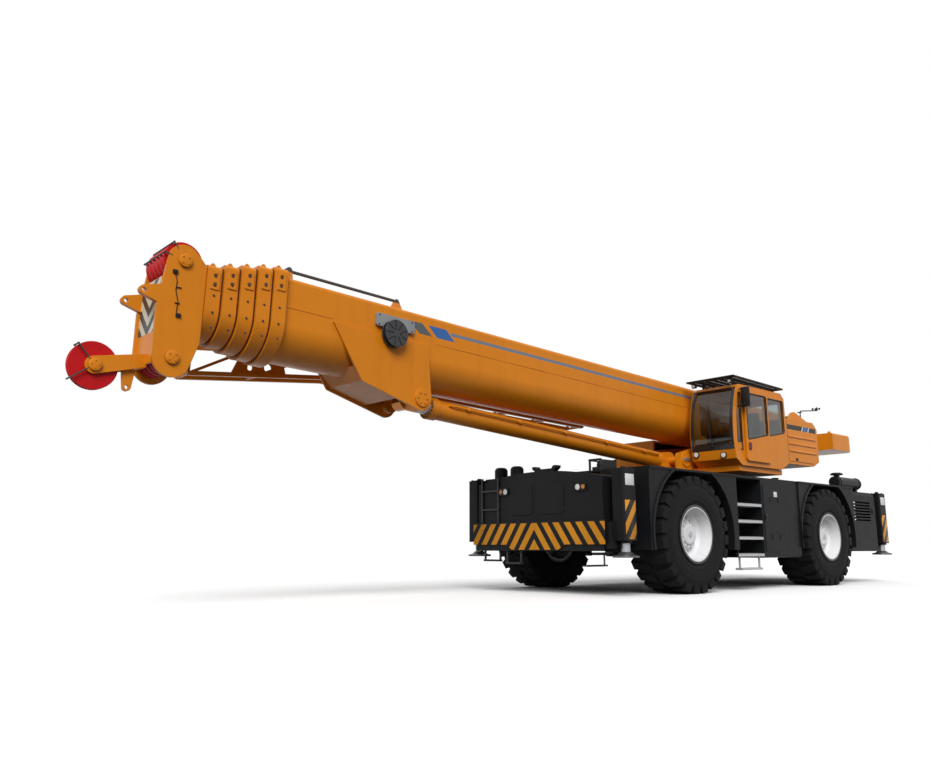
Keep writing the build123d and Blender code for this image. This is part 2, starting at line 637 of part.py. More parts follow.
def rim(x, side):
    r = RIM_DIAMETER / 2
    w = RIM_HALF_WIDTH
    bore = SPINDLE_RADIUS + SEAT_GAP
    hub = bore + 85
    profile = [
        (r, -w), (r + RIM_FLANGE, -w), (r + RIM_FLANGE, -w - 25), (r - 25, -w - 25), (r - 25, 60), (bore, 60),
        (bore, 200), (hub, 200), (hub + 15, 130), (hub + 115, 110), (r - 60, 165), (r - 45, 260), (r - 20, w + 10),
        (r - 20, w + 25), (r + RIM_FLANGE, w + 25), (r + RIM_FLANGE, w), (r, w),
    ]
    wheel = turned(profile, x, side * WHEEL_Y, AXLE_Z, side)
    cap = [(0, 170), (hub - 45, 170), (hub - 45, 222), (hub - 75, 236), (0, 236)]
    return wheel + turned(cap, x, side * WHEEL_Y, AXLE_Z, side)


def ring_wire(radius, w):
    """A regular polygon with a side for each lug."""
    step = 2 * pi / LUGS
    return Wire.make_polygon([(radius * cos(step * k), radius * sin(step * k), w) for k in range(LUGS)], close=True)


def tyre_lug(angle, hand):
    """A tread lug from the shoulder to near the middle, leaning towards the turning side."""
    half = TYRE_WIDTH / 2
    wide = pi * TYRE_DIAMETER / LUGS
    lead = 0.36 * wide
    top = sqrt((TYRE_DIAMETER / 2) ** 2 - lead ** 2)
    points = [(0.30 * wide, hand * (half - 8)), (-0.30 * wide, hand * (half - 8)), (-0.02 * wide, hand * 0.10 * half),
              (lead, hand * 0.10 * half)]
    low = top - 3 * LUG_DEPTH
    face = Face(Wire.make_polygon([(low, t, w) for t, w in points], close=True))
    return Rot(0, 0, angle - degrees(atan2(lead, top))) * pulled(face, Vector(top - low, 0, 0))


def tyre_shape():
    """The lugged tyre about its own axis, bead to bead."""
    r = RIM_DIAMETER / 2
    half = TYRE_WIDTH / 2
    tread = TYRE_DIAMETER / 2 - LUG_DEPTH
    rings = [(r + 70, -RIM_HALF_WIDTH), (0.68 * tread, -half), (0.90 * tread, -half + 10), (tread, -half + 75)]
    rings += [(radius, -w) for radius, w in reversed(rings)]
    body = Solid.make_loft([ring_wire(radius, w) for radius, w in rings], ruled=True)
    lugs = []
    for k in range(LUGS):
        lugs.append(tyre_lug(360 / LUGS * k, 1))
        lugs.append(tyre_lug(360 / LUGS * (k + 0.5), -1))
    body = body.fuse(*lugs)
    seat = Cylinder(r, 2 * half)
    for side in (1, -1):
        seat += Pos(0, 0, side * (half / 2 + RIM_HALF_WIDTH / 2)) * Cylinder(r + RIM_FLANGE, half - RIM_HALF_WIDTH)
    return body - seat


def running_gear():
    add("axle_housings", [axle_housing(FRONT_AXLE_X), axle_housing(REAR_AXLE_X)])
    lugged = tyre_shape()
    for end, x in (("front", FRONT_AXLE_X), ("rear", REAR_AXLE_X)):
        for hand, side in (("left", 1), ("right", -1)):
            add("knuckle_" + end + "_" + hand, knuckle(x, side))
            add("rim_" + end + "_" + hand, rim(x, side))
            add("tyre_" + end + "_" + hand, Pos(x, side * WHEEL_Y, AXLE_Z) * Rot(-90 * side, 0, 0) * lugged)


# Lamps and fittings on the carrier
def carrier_lamps():
    front = FRAME_FRONT_X + BOX_LENGTH - 40
    lamp_y = BOX_HALF_LENGTH - 460
    lamps = []
    for y in (lamp_y, -lamp_y + 250):
        body = box(front, front + 45, y - 110, y + 110, DECK_Z - 390, DECK_Z - 260)
        lamps.append(fillet(body.edges().filter_by(Axis.X), 25))
    for y in (lamp_y + 230, -lamp_y - 230):
        body = box(REAR_END_X - 30, REAR_END_X, y - 160, y + 160, BOX_TOP_Z - 160, BOX_TOP_Z - 70)
        lamps.append(fillet(body.edges().filter_by(Axis.X), 20))
    add("carrier_lamps", lamps)


def deck_fittings():
    x = FRAME_FRONT_X + 350
    crown = DECK_Z - 10
    rest = plate_x([(-150, crown - 25), (150, crown - 25), (285, crown + 70), (285, crown + 110), (215, crown + 110),
                    (170, crown + 60), (-170, crown + 60), (-215, crown + 110), (-285, crown + 110), (-285, crown + 70)],
                   x - 60, x + 60)
    pots = []
    for y in (-1130, -720):
        pot = round_z(x, y, crown - 100, crown + 160, 120)
        pots.append(fillet(pot.edges().group_by(Axis.Z)[-1], 70))
    return rest, pots


def place_deck_fittings():
    rest, pots = deck_fittings()
    housing = nodes["front_housing"]
    seated = [(shape - housing).solids().sort_by(Axis.Z)[-1] for shape in [rest] + pots]
    add("deck_fittings", seated)


# Turntable with its two side plates, the cab platform and the boom and cylinder pins
def turntable():
    z = RING_TOP_Z
    base = round_z(0, 0, z + SEAT_GAP, z + 125, RING_RADIUS + 60)
    inner = SIDE_PLATE_Y
    outer = SIDE_OUTER_Y
    outline = [(LIFT_BASE_X + 300, z + 105), (LIFT_BASE_X + 300, LIFT_BASE_Z + 100), (LIFT_BASE_X - 550, z + 715),
               (-1700, z + 925), (FOOT_X + 350, FOOT_Z + 230), (FOOT_X - 250, FOOT_Z + 230), (TAIL_X, FOOT_Z + 50),
               (TAIL_X, COUNTERWEIGHT_BOTTOM_Z + 20), (FOOT_X - 150, z + 755), (-1800, z + 405), (-1150, z + 105)]
    for side in (1, -1):
        base += rounded(plate_y(outline, side * inner, side * outer), Axis.Y, 90)
        base += round_y(FOOT_X, FOOT_Z, side * inner, side * (outer + 40), FOOT_BOSS_RADIUS + 20)
        base += round_y(LIFT_BASE_X, LIFT_BASE_Z, side * inner, side * (outer + 25), LIFT_PIN_RADIUS + 70)
    base += box(-1150, LIFT_BASE_X + 250, -outer, outer, z + 105, z + 165)
    base += box(-1000, 600, inner, CAB_OUTER_Y - 60, z + 125, PLATFORM_TOP_Z)
    base += box(-1700, 500, -CAB_OUTER_Y + 60, -inner, z + 125, PLATFORM_TOP_Z)
    base += round_y(FOOT_X, FOOT_Z, -outer - 60, outer + 60, FOOT_PIN_RADIUS)
    base += round_y(LIFT_BASE_X, LIFT_BASE_Z, -outer - 30, outer + 30, LIFT_PIN_RADIUS)
    add("turntable", base)


# Operator's cab: shell with a bowed windscreen, panes, sliding door, seat and roof guard
def cab_solid(inset, y0, y1):
    """A bar of the cab's side outline, bowed in front and drawn in by a distance."""
    z = PLATFORM_TOP_Z
    top = z + CAB_HEIGHT
    corners = [(CAB_FRONT_X - 200, top - 50), (CAB_FRONT_X - 290, top), (CAB_REAR_X + 150, top),
               (CAB_REAR_X + 30, top - 100), (CAB_REAR_X, z + 700), (CAB_REAR_X, z + 140), (CAB_REAR_X + 300, z),
               (CAB_FRONT_X - 250, z), (CAB_FRONT_X - 60, z + 120)]
    edges = [Edge.make_line((ax, y0, az), (bx, y0, bz)) for (ax, az), (bx, bz) in zip(corners, corners[1:])]
    foot_x, foot_z = corners[-1]
    head_x, head_z = corners[0]
    bow = (CAB_FRONT_X - 5, y0, z + 650)
    edges.append(Edge.make_three_point_arc((foot_x, y0, foot_z), bow, (head_x, y0, head_z)))
    face = Face(Wire(edges))
    if inset:
        face = drawn_in(face, inset)
    return pulled(face, Vector(0, y1 - y0, 0))


def cab_window_cuts():
    z = PLATFORM_TOP_Z
    top = z + CAB_HEIGHT
    head = top - 160
    inner = CAB_INNER_Y
    outer = CAB_OUTER_Y
    front = box(CAB_FRONT_X - 550, CAB_FRONT_X + 150, inner + 70, outer - 70, z + 420, top - 90)
    rear = box(CAB_REAR_X - 200, CAB_REAR_X + 200, inner + 120, outer - 120, z + 720, top - 180)
    side = plate_y([(CAB_REAR_X + 90, z + 760), (DOOR_REAR_X - 80, z + 650), (DOOR_REAR_X - 80, head),
                    (CAB_REAR_X + 90, head)], outer - 200, outer + 100)
    far_side = box(CAB_REAR_X + 200, CAB_FRONT_X - 290, inner - 100, inner + 200, z + 650, head)
    quarter = plate_y([(DOOR_FRONT_X + 70, z + 460), (CAB_FRONT_X - 130, z + 430), (CAB_FRONT_X - 150, z + 950),
                       (CAB_FRONT_X - 230, head), (DOOR_FRONT_X + 70, head)], outer - 200, outer + 100)
    cuts = [rounded(front, Axis.X, 60), rounded(rear, Axis.X, 60)]
    return cuts + [rounded(side, Axis.Y, 50), rounded(far_side, Axis.Y, 50), rounded(quarter, Axis.Y, 20)]


def cab():
    inner = CAB_INNER_Y
    outer = CAB_OUTER_Y
    deep = GLASS_DEPTH + GLASS
    shell = cab_solid(0, inner, outer)
    shell -= cab_solid(CAB_WALL, inner + CAB_WALL, outer - CAB_WALL)
    layer = cab_solid(GLASS_DEPTH, inner + GLASS_DEPTH, outer - GLASS_DEPTH)
    layer -= cab_solid(deep, inner + deep, outer - deep)
    panes = []
    for cut in cab_window_cuts():
        shell -= cut
        panes += list((layer & cut).solids())
    doorway = box(DOOR_REAR_X + 40, DOOR_FRONT_X - 40, outer - 200, outer + 100, DOOR_BOTTOM_Z + 30, DOOR_TOP_Z - 30)
    add("cab_shell", shell - rounded(doorway, Axis.Y, 60))
    add("cab_glass", panes)


def cab_door():
    near = CAB_OUTER_Y + RUNNING_GAP
    far = near + DOOR_THICKNESS
    low = DOOR_BOTTOM_Z
    high = DOOR_TOP_Z
    door = rounded(box(DOOR_REAR_X, DOOR_FRONT_X, near, far, low, high), Axis.Y, 60)
    opening = plate_y([(DOOR_REAR_X + 60, low + 560), (DOOR_FRONT_X - 60, low + 410), (DOOR_FRONT_X - 60, high - 70),
                       (DOOR_REAR_X + 60, high - 70)], near - 50, far + 50)
    opening = rounded(opening, Axis.Y, 50)
    pane = opening & box(DOOR_REAR_X, DOOR_FRONT_X, near + GLASS, near + 2 * GLASS, low, high)
    for z in (low + 3, high - 22):
        door += box(DOOR_REAR_X + 70, DOOR_FRONT_X - 70, CAB_OUTER_Y + SEAT_GAP, near, z, z + 20)
    add("cab_door", door - opening)
    add("door_glass", pane)


def operator_station():
    floor = PLATFORM_TOP_Z + CAB_WALL
    y = (CAB_INNER_Y + CAB_OUTER_Y) / 2
    rear = DOOR_REAR_X - 190
    seat = box(rear + 80, rear + 540, y - 200, y + 200, floor, floor + 330)
    seat += rounded(box(rear, rear + 600, y - 260, y + 260, floor + 330, floor + 460), Axis.Z, 80)
    back = plate_y([(rear + 120, floor + 440), (rear, floor + 1130), (rear - 120, floor + 1130), (rear, floor + 440)],
                   y - 250, y + 250)
    seat += rounded(back, Axis.Y, 40)
    for side in (1, -1):
        arm = box(rear + 120, rear + 560, y + side * 255, y + side * 350, floor + 400, floor + 600)
        seat += rounded(arm, Axis.Y, 60)
    panel = plate_y([(DOOR_FRONT_X - 50, floor), (DOOR_FRONT_X + 90, floor), (DOOR_FRONT_X + 130, floor + 560),
                     (DOOR_FRONT_X + 60, floor + 600), (DOOR_FRONT_X - 50, floor + 480)], y - 330, y + 330)
    add("operator_station", [seat, panel])


def roof_guard():
    top = PLATFORM_TOP_Z + CAB_HEIGHT
    near = CAB_INNER_Y - 40
    far = CAB_OUTER_Y + 50
    rear = CAB_REAR_X + 120
    front = CAB_FRONT_X - 20
    bar = 60
    pitch = (far - near - bar) / GUARD_BARS
    guard = plate_y([(rear, top + 70), (front, top + 110), (front, top + 140), (rear, top + 100)], near, far)
    for k in range(GUARD_BARS):
        start = near + bar + pitch * k
        guard -= box(rear + 2 * bar, front - 2 * bar, start, start + pitch - bar, top, top + 200)
    for x, rise in ((rear + bar, 85), (front - 350, 115)):
        for k in (1, GUARD_BARS - 1):
            start = near + pitch * k
            guard += box(x, x + 50, start + 10, start + 50, top, top + rise)
    add("roof_guard", guard)


# Ribbed cover and hydraulic tank beside the turntable, counterweight and winches
def cover(outline, wall, near, far):
    """A pressed cover, open towards the middle of the machine."""
    face = Face(Wire.make_polygon([(x, near, z) for x, z in outline], close=True))
    body = pulled(face, Vector(0, far - near, 0))
    return body - pulled(drawn_in(face, wall), Vector(0, far - wall - near, 0))


def side_housings():
    z = PLATFORM_TOP_Z
    near = SIDE_OUTER_Y
    far = CAB_OUTER_Y - 10
    wall = 40
    rear = CAB_REAR_X - 1350
    front = CAB_REAR_X - 5
    outline = [(rear, z + 260), (rear + 250, z + 150), (front, z + 150), (front, z + 1080), (rear + 170, z + 1100),
               (rear, z + 960)]
    left = cover(outline, wall, near, far)
    for k in range(3):
        left += round_x(far, z + 420 + 150 * k, rear + 120, front - 80, 22)
    tank_rear = CAB_REAR_X - 500
    tank_front = CAB_FRONT_X - 370
    side = CAB_OUTER_Y - 60
    top = z + 680
    tank = box(tank_rear, tank_front, -side, -near, z, top)
    tank = fillet(tank.edges().filter_by(Axis.X).group_by(Axis.Z)[-1].sort_by(Axis.Y)[0], 90)
    tank -= box(tank_rear + wall, tank_front - wall, wall - side, -near, z + wall, top - wall)
    for x in (tank_rear + 400, tank_front - 460):
        strap = box(x, x + 60, -side - 12, -near - 100, z, top + 12)
        strap = fillet(strap.edges().filter_by(Axis.X).group_by(Axis.Z)[-1].sort_by(Axis.Y)[0], 100)
        tank += strap - box(x, x + 60, wall - side, -near, z, top - wall)
    tank += round_z((tank_rear + tank_front) / 2, 300 - side, top - 10, top + 60, 75)
    add("side_housings", [left, tank])


def counterweight():
    half = COUNTERWEIGHT_HALF_WIDTH
    top = COUNTERWEIGHT_TOP_Z
    slab = box(TAIL_END_X, TAIL_X, -half, half, COUNTERWEIGHT_BOTTOM_Z, top)
    slab = fillet(slab.edges().filter_by(Axis.Z).group_by(Axis.X)[0], COUNTERWEIGHT_RADIUS)
    rim_edges = [e for e in slab.faces().sort_by(Axis.Z)[-1].edges() if e.center().X < TAIL_X - 1]
    slab = fillet(rim_edges, 40)
    x = (TAIL_X + TAIL_END_X) / 2
    for y in (half - 330, 290 - half):
        eye = lug_plate([(x - 80, top - 5, 0), (x + 80, top - 5, 0), (x, top + 60, 50)], y, y + 40)
        slab += eye - round_y(x, top + 60, y, y + 40, 25)
    add("counterweight", slab)


def winches():
    inner = WINCH_PLATE_Y
    outer = inner + WINCH_PLATE
    top = COUNTERWEIGHT_TOP_Z
    rear = TAIL_END_X + 30
    front = TAIL_X - 30
    frame = box(rear, front, -outer, outer, top, top + 30)
    for side in (1, -1):
        frame += lug_plate([(rear, top, 0), (front, top, 0), (*MAIN_DRUM, 310), (*AUX_DRUM, 190)], side * inner, side * outer)
        for x, z in (MAIN_DRUM, AUX_DRUM):
            frame += round_y(x, z, side * outer, side * (outer + 60), 110)
    for x, z in (MAIN_DRUM, AUX_DRUM):
        frame += round_y(x, z, -outer, outer, PIN_RADIUS)
    add("winch_frame", frame)
    edge = inner - RUNNING_GAP
    bore = PIN_RADIUS + SEAT_GAP
    for name, (x, z), radius in (("main_drum", MAIN_DRUM, MAIN_DRUM_RADIUS), ("aux_drum", AUX_DRUM, AUX_DRUM_RADIUS)):
        core = radius - ROPE_DEPTH
        cheek = edge - DRUM_FLANGE
        profile = [(bore, -edge), (radius, -edge), (radius, -cheek), (core, -cheek), (core, cheek), (radius, cheek),
                   (radius, edge), (bore, edge)]
        add(name, turned(profile, x, 0, z, 1))


# Boom sections, each sliding in the mouth of the one behind it
def section_inset(index):
    return SECTION_STEP * (index - 1)


def section_front(index):
    return HEAD_U if index == SECTIONS else BASE_FRONT_U + COLLAR_PITCH * (index - 1)


def collar(inset, u0, u1):
    """A section's front ring with pad covers on its sides and small lugs on top."""
    half = BASE_HALF_WIDTH - inset
    top = BOOM_TOP_V - inset
    high = top - BOOM_CORNER - 20
    middle = (u0 + u1) / 2
    ring = u_solid(inset, u0, u1)
    for side in (1, -1):
        plate = box(middle - PAD_LENGTH / 2, middle + PAD_LENGTH / 2, side * (half - 10), side * (half + 14), high - 240, high)
        for drop in (60, 180):
            plate -= round_y(middle, high - drop, side * (half + 4), side * (half + 20), 30)
        ring += plate
        y = side * (half - 120)
        ring += lug_plate([(middle - 60, top - 5, 0), (middle + 60, top - 5, 0), (middle, top + 35, 25)], y - 15, y + 15)
    return ring


def front_pads(index):
    """The ring of slide pads in a section's mouth, which carries the next section."""
    front = section_front(index)
    ring = u_solid(section_inset(index) + BOOM_WALL, front - PAD_LENGTH, front)
    return ring - u_solid(section_inset(index + 1) - SEAT_GAP, front - PAD_LENGTH, front)


def lift_bracket():
    """Cheek plates down the boom's sides to the cylinder pin, and the sloping plate between them."""
    u = LIFT_PIN_U
    v = LIFT_PIN_V
    side_y = BASE_HALF_WIDTH
    toe_u = u + 1040
    toe_v = BOOM_BOTTOM_V - 70
    pieces = []
    for side in (1, -1):
        pieces.append(lug_plate([(u - 70, 120, 0), (u, v, 185), (toe_u, toe_v, 50), (u + 1590, 130, 0)],
                                side * (side_y - 4), side * (side_y + CHEEK)))
        pieces.append(round_y(u, v, side * (side_y - 150), side * (side_y + 55), LIFT_EYE_RADIUS))
    pieces.append(plate_y([(u + 400, toe_v - 180), (toe_u, toe_v - 20), (toe_u + 160, BOOM_BOTTOM_V + 90),
                           (toe_u + 120, BOOM_BOTTOM_V + 100), (toe_u - 20, toe_v + 10), (u + 390, toe_v - 150)],
                          -side_y, side_y))
    return pieces


def boom_base():
    base = u_solid(0, BASE_REAR_U, BASE_FRONT_U)
    base += collar(-BASE_COLLAR, BASE_FRONT_U - COLLAR_PITCH + 2 * RUNNING_GAP, BASE_FRONT_U)
    for piece in lift_bracket():
        base += piece
    for side in (1, -1):
        base += round_y(0, 0, side * (BASE_HALF_WIDTH - 40), side * (BASE_HALF_WIDTH + FOOT_ROOM / 2), FOOT_BOSS_RADIUS)
    base -= u_solid(BOOM_WALL, BASE_REAR_U, BASE_FRONT_U)
    base += front_pads(1)
    reach = BASE_HALF_WIDTH + SIDE_PLATE_Y
    base -= round_y(0, 0, -reach, reach, FOOT_PIN_RADIUS + SEAT_GAP)
    add("boom_base", boom_place(base))


def boom_sections():
    for index in range(2, SECTIONS + 1):
        inset = section_inset(index)
        front = section_front(index)
        tube = u_solid(inset, SECTION_REAR_U, front)
        if index < SECTIONS:
            tube += collar(COLLAR_STEP * (index - 2) - COLLAR_RISE, front - COLLAR_PITCH + RUNNING_GAP, front)
        tube -= u_solid(inset + BOOM_WALL, SECTION_REAR_U, front)
        if index < SECTIONS:
            tube += front_pads(index)
        add("boom_section_" + str(index), boom_place(tube))


# Boom head: two side plates round the sheave pins, the nose arm and the sheaves
def boom_head():
    start = HEAD_U
    inner = HEAD_PLATE_Y
    outer = inner + HEAD_PLATE
    front = start + 540
    low_u, low_v = LOWER_UV
    head = u_solid(section_inset(SECTIONS), start, start + 30)
    side_plate = [(start, SHEAVE_V, 0), (start, BOOM_BOTTOM_V - 15, 0), (low_u, low_v, 240), (front, -150, 40),
                  (*SHEAVE_UV, 205)]
    ear = [(front - 60, -140, 0), (front + 200, 0, 60), (front - 60, 140, 0)]
    for side in (1, -1):
        cheek = lug_plate(side_plate, side * inner, side * outer)
        cheek += lug_plate(ear, side * (inner - 30), side * outer)
        head += cheek - round_y(front + 200, 0, side * (inner - 30), side * outer, 28)
    head += box(front - 32, front, -inner, inner, low_v - 80, 230)
    head += plate_y([(start, BOOM_BOTTOM_V), (start + 95, low_v - 40), (start + 125, low_v - 30),
                     (start + 30, BOOM_BOTTOM_V + 25)], -inner, inner)
    for u, v in (SHEAVE_UV, LOWER_UV):
        head += round_y(u, v, -outer - 25, outer + 25, PIN_RADIUS)
    top = low_v + 50
    low = low_v - 120
    for side in (1, -1):
        head += lug_plate([(front - 10, top, 0), (front - 10, low, 0), (*NOSE_UV, 105)], side * NOSE_GAP, side * (NOSE_GAP + 35))
    head += lug_plate([(front - 10, top, 0), (front - 10, low, 0), (front + 210, NOSE_V + 80, 70)], -NOSE_GAP, NOSE_GAP)
    hook = lug_plate([(front + 90, NOSE_V + 30, 0), (front + 170, NOSE_V - 190, 50), (front + 250, NOSE_V + 30, 0)], -25, 25)
    head += hook - round_y(front + 170, NOSE_V - 190, -25, 25, 24)
    head += round_y(*NOSE_UV, -NOSE_GAP - 60, NOSE_GAP + 60, PIN_RADIUS)
    add("boom_head", boom_place(head))


def grooved(centre, half_width, radius, grooves):
    """Rope sheaves side by side on one pin, turned from a profile of grooves."""
    bore = PIN_RADIUS + SEAT_GAP
    pitch = 2 * half_width / grooves
    profile = [(bore, -half_width)]
    for k in range(grooves):
        start = pitch * k - half_width
        profile += [(radius, start), (radius, start + 0.12 * pitch), (radius - GROOVE, start + 0.38 * pitch),
                    (radius - GROOVE, start + 0.62 * pitch), (radius, start + 0.88 * pitch)]
    profile += [(radius, half_width), (bore, half_width)]
    u, v = centre
    return boom_place(turned(profile, u, 0, v, 1))


def sheaves():
    edge = HEAD_PLATE_Y - RUNNING_GAP
    add("head_sheaves", grooved(SHEAVE_UV, edge, SHEAVE_RADIUS, 5))
    add("lower_sheaves", grooved(LOWER_UV, edge, LOWER_RADIUS, 5))
    add("nose_sheave", grooved(NOSE_UV, NOSE_GAP - RUNNING_GAP, NOSE_RADIUS, 1))


# Stowed lattice jib on the boom's right side, cable reel and sensor line on its left
def jib_low(u):
    """The height of the jib's lower chord, bent down towards its root."""
    bend_u = BASE_FRONT_U - 1700
    return -370 - 0.1416 * max(0, u - bend_u)


def jib_lattice():
    front = BASE_FRONT_U + 560
    near = -JIB_NEAR_Y
    far = near - JIB_WIDTH
    stations = [front - JIB_LENGTH * k / JIB_BAYS for k in range(JIB_BAYS + 1)]
    stations[2] = BASE_FRONT_U - 1700
    corners = [(y, rise) for y in (near, far) for rise in (0, JIB_DEPTH)]
    bars = []
    for y, rise in corners:
        ends = [stations[0], stations[2], stations[-1]]
        for a, b in zip(ends, ends[1:]):
            bars.append(strut((a, y, jib_low(a) + rise), (b, y, jib_low(b) + rise), JIB_CHORD))
    for k, u in enumerate(stations):
        low = jib_low(u)
        for rise in (0, JIB_DEPTH):
            bars.append(strut((u, near + JIB_BRACE, low + rise), (u, far - JIB_BRACE, low + rise), JIB_BRACE))
        for y in (near, far):
            bars.append(strut((u, y, low), (u, y, low + JIB_DEPTH), JIB_BRACE))
            if k:
                before = stations[k - 1]
                bars.append(strut((before, y, jib_low(before)), (u, y, low + JIB_DEPTH), JIB_BRACE))
    for u in (stations[4], stations[7]):
        bars.append(box(u - 80, u + 80, near, -BASE_HALF_WIDTH, jib_low(u) + JIB_DEPTH - 50, jib_low(u) + JIB_DEPTH + 50))
    root = BASE_FRONT_U - 470
    low = jib_low(root)
    web = plate_y([(root - 430, low + 60), (root + 430, low - 60), (root + 330, low + 180), (root - 360, low + 270)],
                  near - 12, near + 12)
    web -= round_y(root - 130, low + 130, near - 12, near + 12, 60)
    web -= round_y(root + 150, low + 90, near - 12, near + 12, 45)
    bars.append(web)
    add("jib_lattice", boom_place(bars[0].fuse(*bars[1:])))


def boom_fittings():
    side_y = BASE_HALF_WIDTH
    reel_u = LIFT_PIN_U + 600
    profile = [(0, 0), (110, 0), (110, 30), (200, 30), (200, 45), (120, 45), (120, 115), (200, 115), (200, 130), (0, 130)]
    reel = turned(profile, reel_u, side_y + CHEEK, 146, 1)
    reel += rounded(box(reel_u - 400, reel_u + 290, side_y, side_y + 50, 235, 426), Axis.Y, 30)
    top = BOOM_TOP_V
    line_y = side_y - 100
    front = BASE_FRONT_U - COLLAR_PITCH - 60
    line = lug_plate([(front - 60, top, 0), (front + 60, top, 0), (front, top + 120, 45)], line_y - 40, line_y + 40)
    post = reel_u - 150
    line += lug_plate([(post - 110, top, 0), (post + 110, top, 0), (post, top + 120, 35)], line_y - 15, line_y + 15)
    line += round_x(line_y, top + 120, post, front, 22)
    add("boom_fittings", [boom_place(reel), boom_place(line)])


# Lift cylinder between the turntable's front and the boom's underside
def lift_line():
    pin_x, pin_z = boom_point(LIFT_PIN_U, LIFT_PIN_V)
    return hypot(pin_x - LIFT_BASE_X, pin_z - LIFT_BASE_Z), atan2(pin_z - LIFT_BASE_Z, pin_x - LIFT_BASE_X)


def lift_cylinder():
    length, angle = lift_line()
    place = Location((LIFT_BASE_X, 0, LIFT_BASE_Z), (0, -degrees(angle), 0))
    mouth = length - ROD_SHOWN
    gland = mouth - GLAND_LENGTH
    half = 150
    barrel = round_x(0, 0, 160, mouth, BARREL_RADIUS)
    barrel += round_x(0, 0, gland, mouth, BARREL_RADIUS + 20)
    barrel += lug_plate([(0, 0, BARREL_RADIUS + 20), (260, -BARREL_RADIUS + 20, 0), (260, BARREL_RADIUS - 20, 0)], -half, half)
    barrel -= round_x(0, 0, 420, gland, ROD_RADIUS + RUNNING_GAP)
    barrel -= round_x(0, 0, 420, mouth, ROD_RADIUS + SEAT_GAP)
    barrel -= round_y(0, 0, -half, half, LIFT_PIN_RADIUS + SEAT_GAP)
    rod = round_x(0, 0, 440, length - 60, ROD_RADIUS)
    rod += round_y(length, 0, -110, 110, LIFT_EYE_RADIUS)
    add("lift_barrel", place * barrel)
    add("lift_rod", place * rod)


carrier_frame()
outriggers()
mudguards()
side_tanks()
access_steps()
front_housing()
engine_hood()
air_intake()
running_gear()
carrier_lamps()
place_deck_fittings()
turntable()
cab()
cab_door()
operator_station()
roof_guard()
side_housings()
counterweight()
winches()
boom_base()
boom_sections()
boom_head()
sheaves()
jib_lattice()
boom_fittings()
lift_cylinder()

os.makedirs("parts", exist_ok=True)
for name, shape in nodes.items():
    export_step(Pos(-MIDDLE_X, 0, 0) * shape, "parts/" + name + ".step")
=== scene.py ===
"""Rough-terrain crane, stowed for the road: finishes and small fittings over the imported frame."""
import json
import math

import bmesh
import bpy
from mathutils import Matrix, Vector


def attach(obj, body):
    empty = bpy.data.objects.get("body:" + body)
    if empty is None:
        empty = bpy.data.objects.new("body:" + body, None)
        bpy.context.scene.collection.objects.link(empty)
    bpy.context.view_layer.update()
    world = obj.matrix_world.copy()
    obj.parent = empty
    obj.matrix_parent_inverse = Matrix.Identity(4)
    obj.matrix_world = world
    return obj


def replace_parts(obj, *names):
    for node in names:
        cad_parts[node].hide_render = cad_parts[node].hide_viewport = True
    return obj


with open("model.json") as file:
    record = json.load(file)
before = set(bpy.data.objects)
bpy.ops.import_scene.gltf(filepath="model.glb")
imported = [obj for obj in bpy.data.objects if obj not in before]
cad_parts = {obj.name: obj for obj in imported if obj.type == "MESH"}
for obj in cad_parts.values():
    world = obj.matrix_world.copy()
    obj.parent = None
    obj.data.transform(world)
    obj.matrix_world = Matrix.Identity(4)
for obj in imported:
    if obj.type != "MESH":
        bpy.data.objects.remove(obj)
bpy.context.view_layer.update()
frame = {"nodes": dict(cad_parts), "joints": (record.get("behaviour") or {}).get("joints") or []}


# Studio floor and light. A plain pale floor under a soft sky that is brighter overhead,
# with one large lamp on the cab side. Camera and mirror rays see plain white.
def node(tree, kind, inputs=None, **settings):
    """One shader node with its values and links."""
    made = tree.nodes.new(kind)
    for key, value in settings.items():
        setattr(made, key, value)
    for key, value in (inputs or {}).items():
        if isinstance(value, bpy.types.NodeSocket):
            tree.links.new(value, made.inputs[key])
        else:
            made.inputs[key].default_value = value
    return made


def math_node(tree, operation, *values):
    """One arithmetic step; gives its result socket."""
    return node(tree, "ShaderNodeMath", dict(enumerate(values)), operation=operation).outputs[0]


def seen_directly(tree):
    """1 for camera, mirror and glass rays, 0 for the light that falls on the machine."""
    path = node(tree, "ShaderNodeLightPath").outputs
    shiny = math_node(tree, "MAXIMUM", path["Is Glossy Ray"], path["Is Transmission Ray"])
    return math_node(tree, "MAXIMUM", path["Is Camera Ray"], shiny)


WHITE = (1.0, 1.0, 1.0, 1.0)
studio = bpy.data.worlds.new("studio_sky")
bpy.context.scene.world = studio
studio.use_nodes = True
sky = studio.node_tree
sky.nodes.clear()
height = node(sky, "ShaderNodeSeparateXYZ", {0: node(sky, "ShaderNodeTexCoord").outputs["Generated"]})
strength = node(sky, "ShaderNodeMapRange", {"Value": height.outputs["Z"], "From Min": 0.0, "From Max": 1.0,
                                            "To Min": 0.24, "To Max": 0.72})
soft_sky = node(sky, "ShaderNodeBackground", {"Color": WHITE, "Strength": strength.outputs[0]})
white_sky = node(sky, "ShaderNodeBackground", {"Color": WHITE, "Strength": 1.0})
sky_mix = node(sky, "ShaderNodeMixShader", {0: seen_directly(sky), 1: soft_sky.outputs[0], 2: white_sky.outputs[0]})
node(sky, "ShaderNodeOutputWorld", {"Surface": sky_mix.outputs[0]})

lamp = bpy.data.lights.new("cab_side_lamp", "SUN")
lamp.energy = 2.9
lamp.angle = math.radians(35)
lamp_object = bpy.data.objects.new("cab_side_lamp", lamp)
lamp_object.rotation_euler = Vector((0.54, 0.60, 0.60)).to_track_quat("Z", "Y").to_euler()
bpy.context.scene.collection.objects.link(lamp_object)

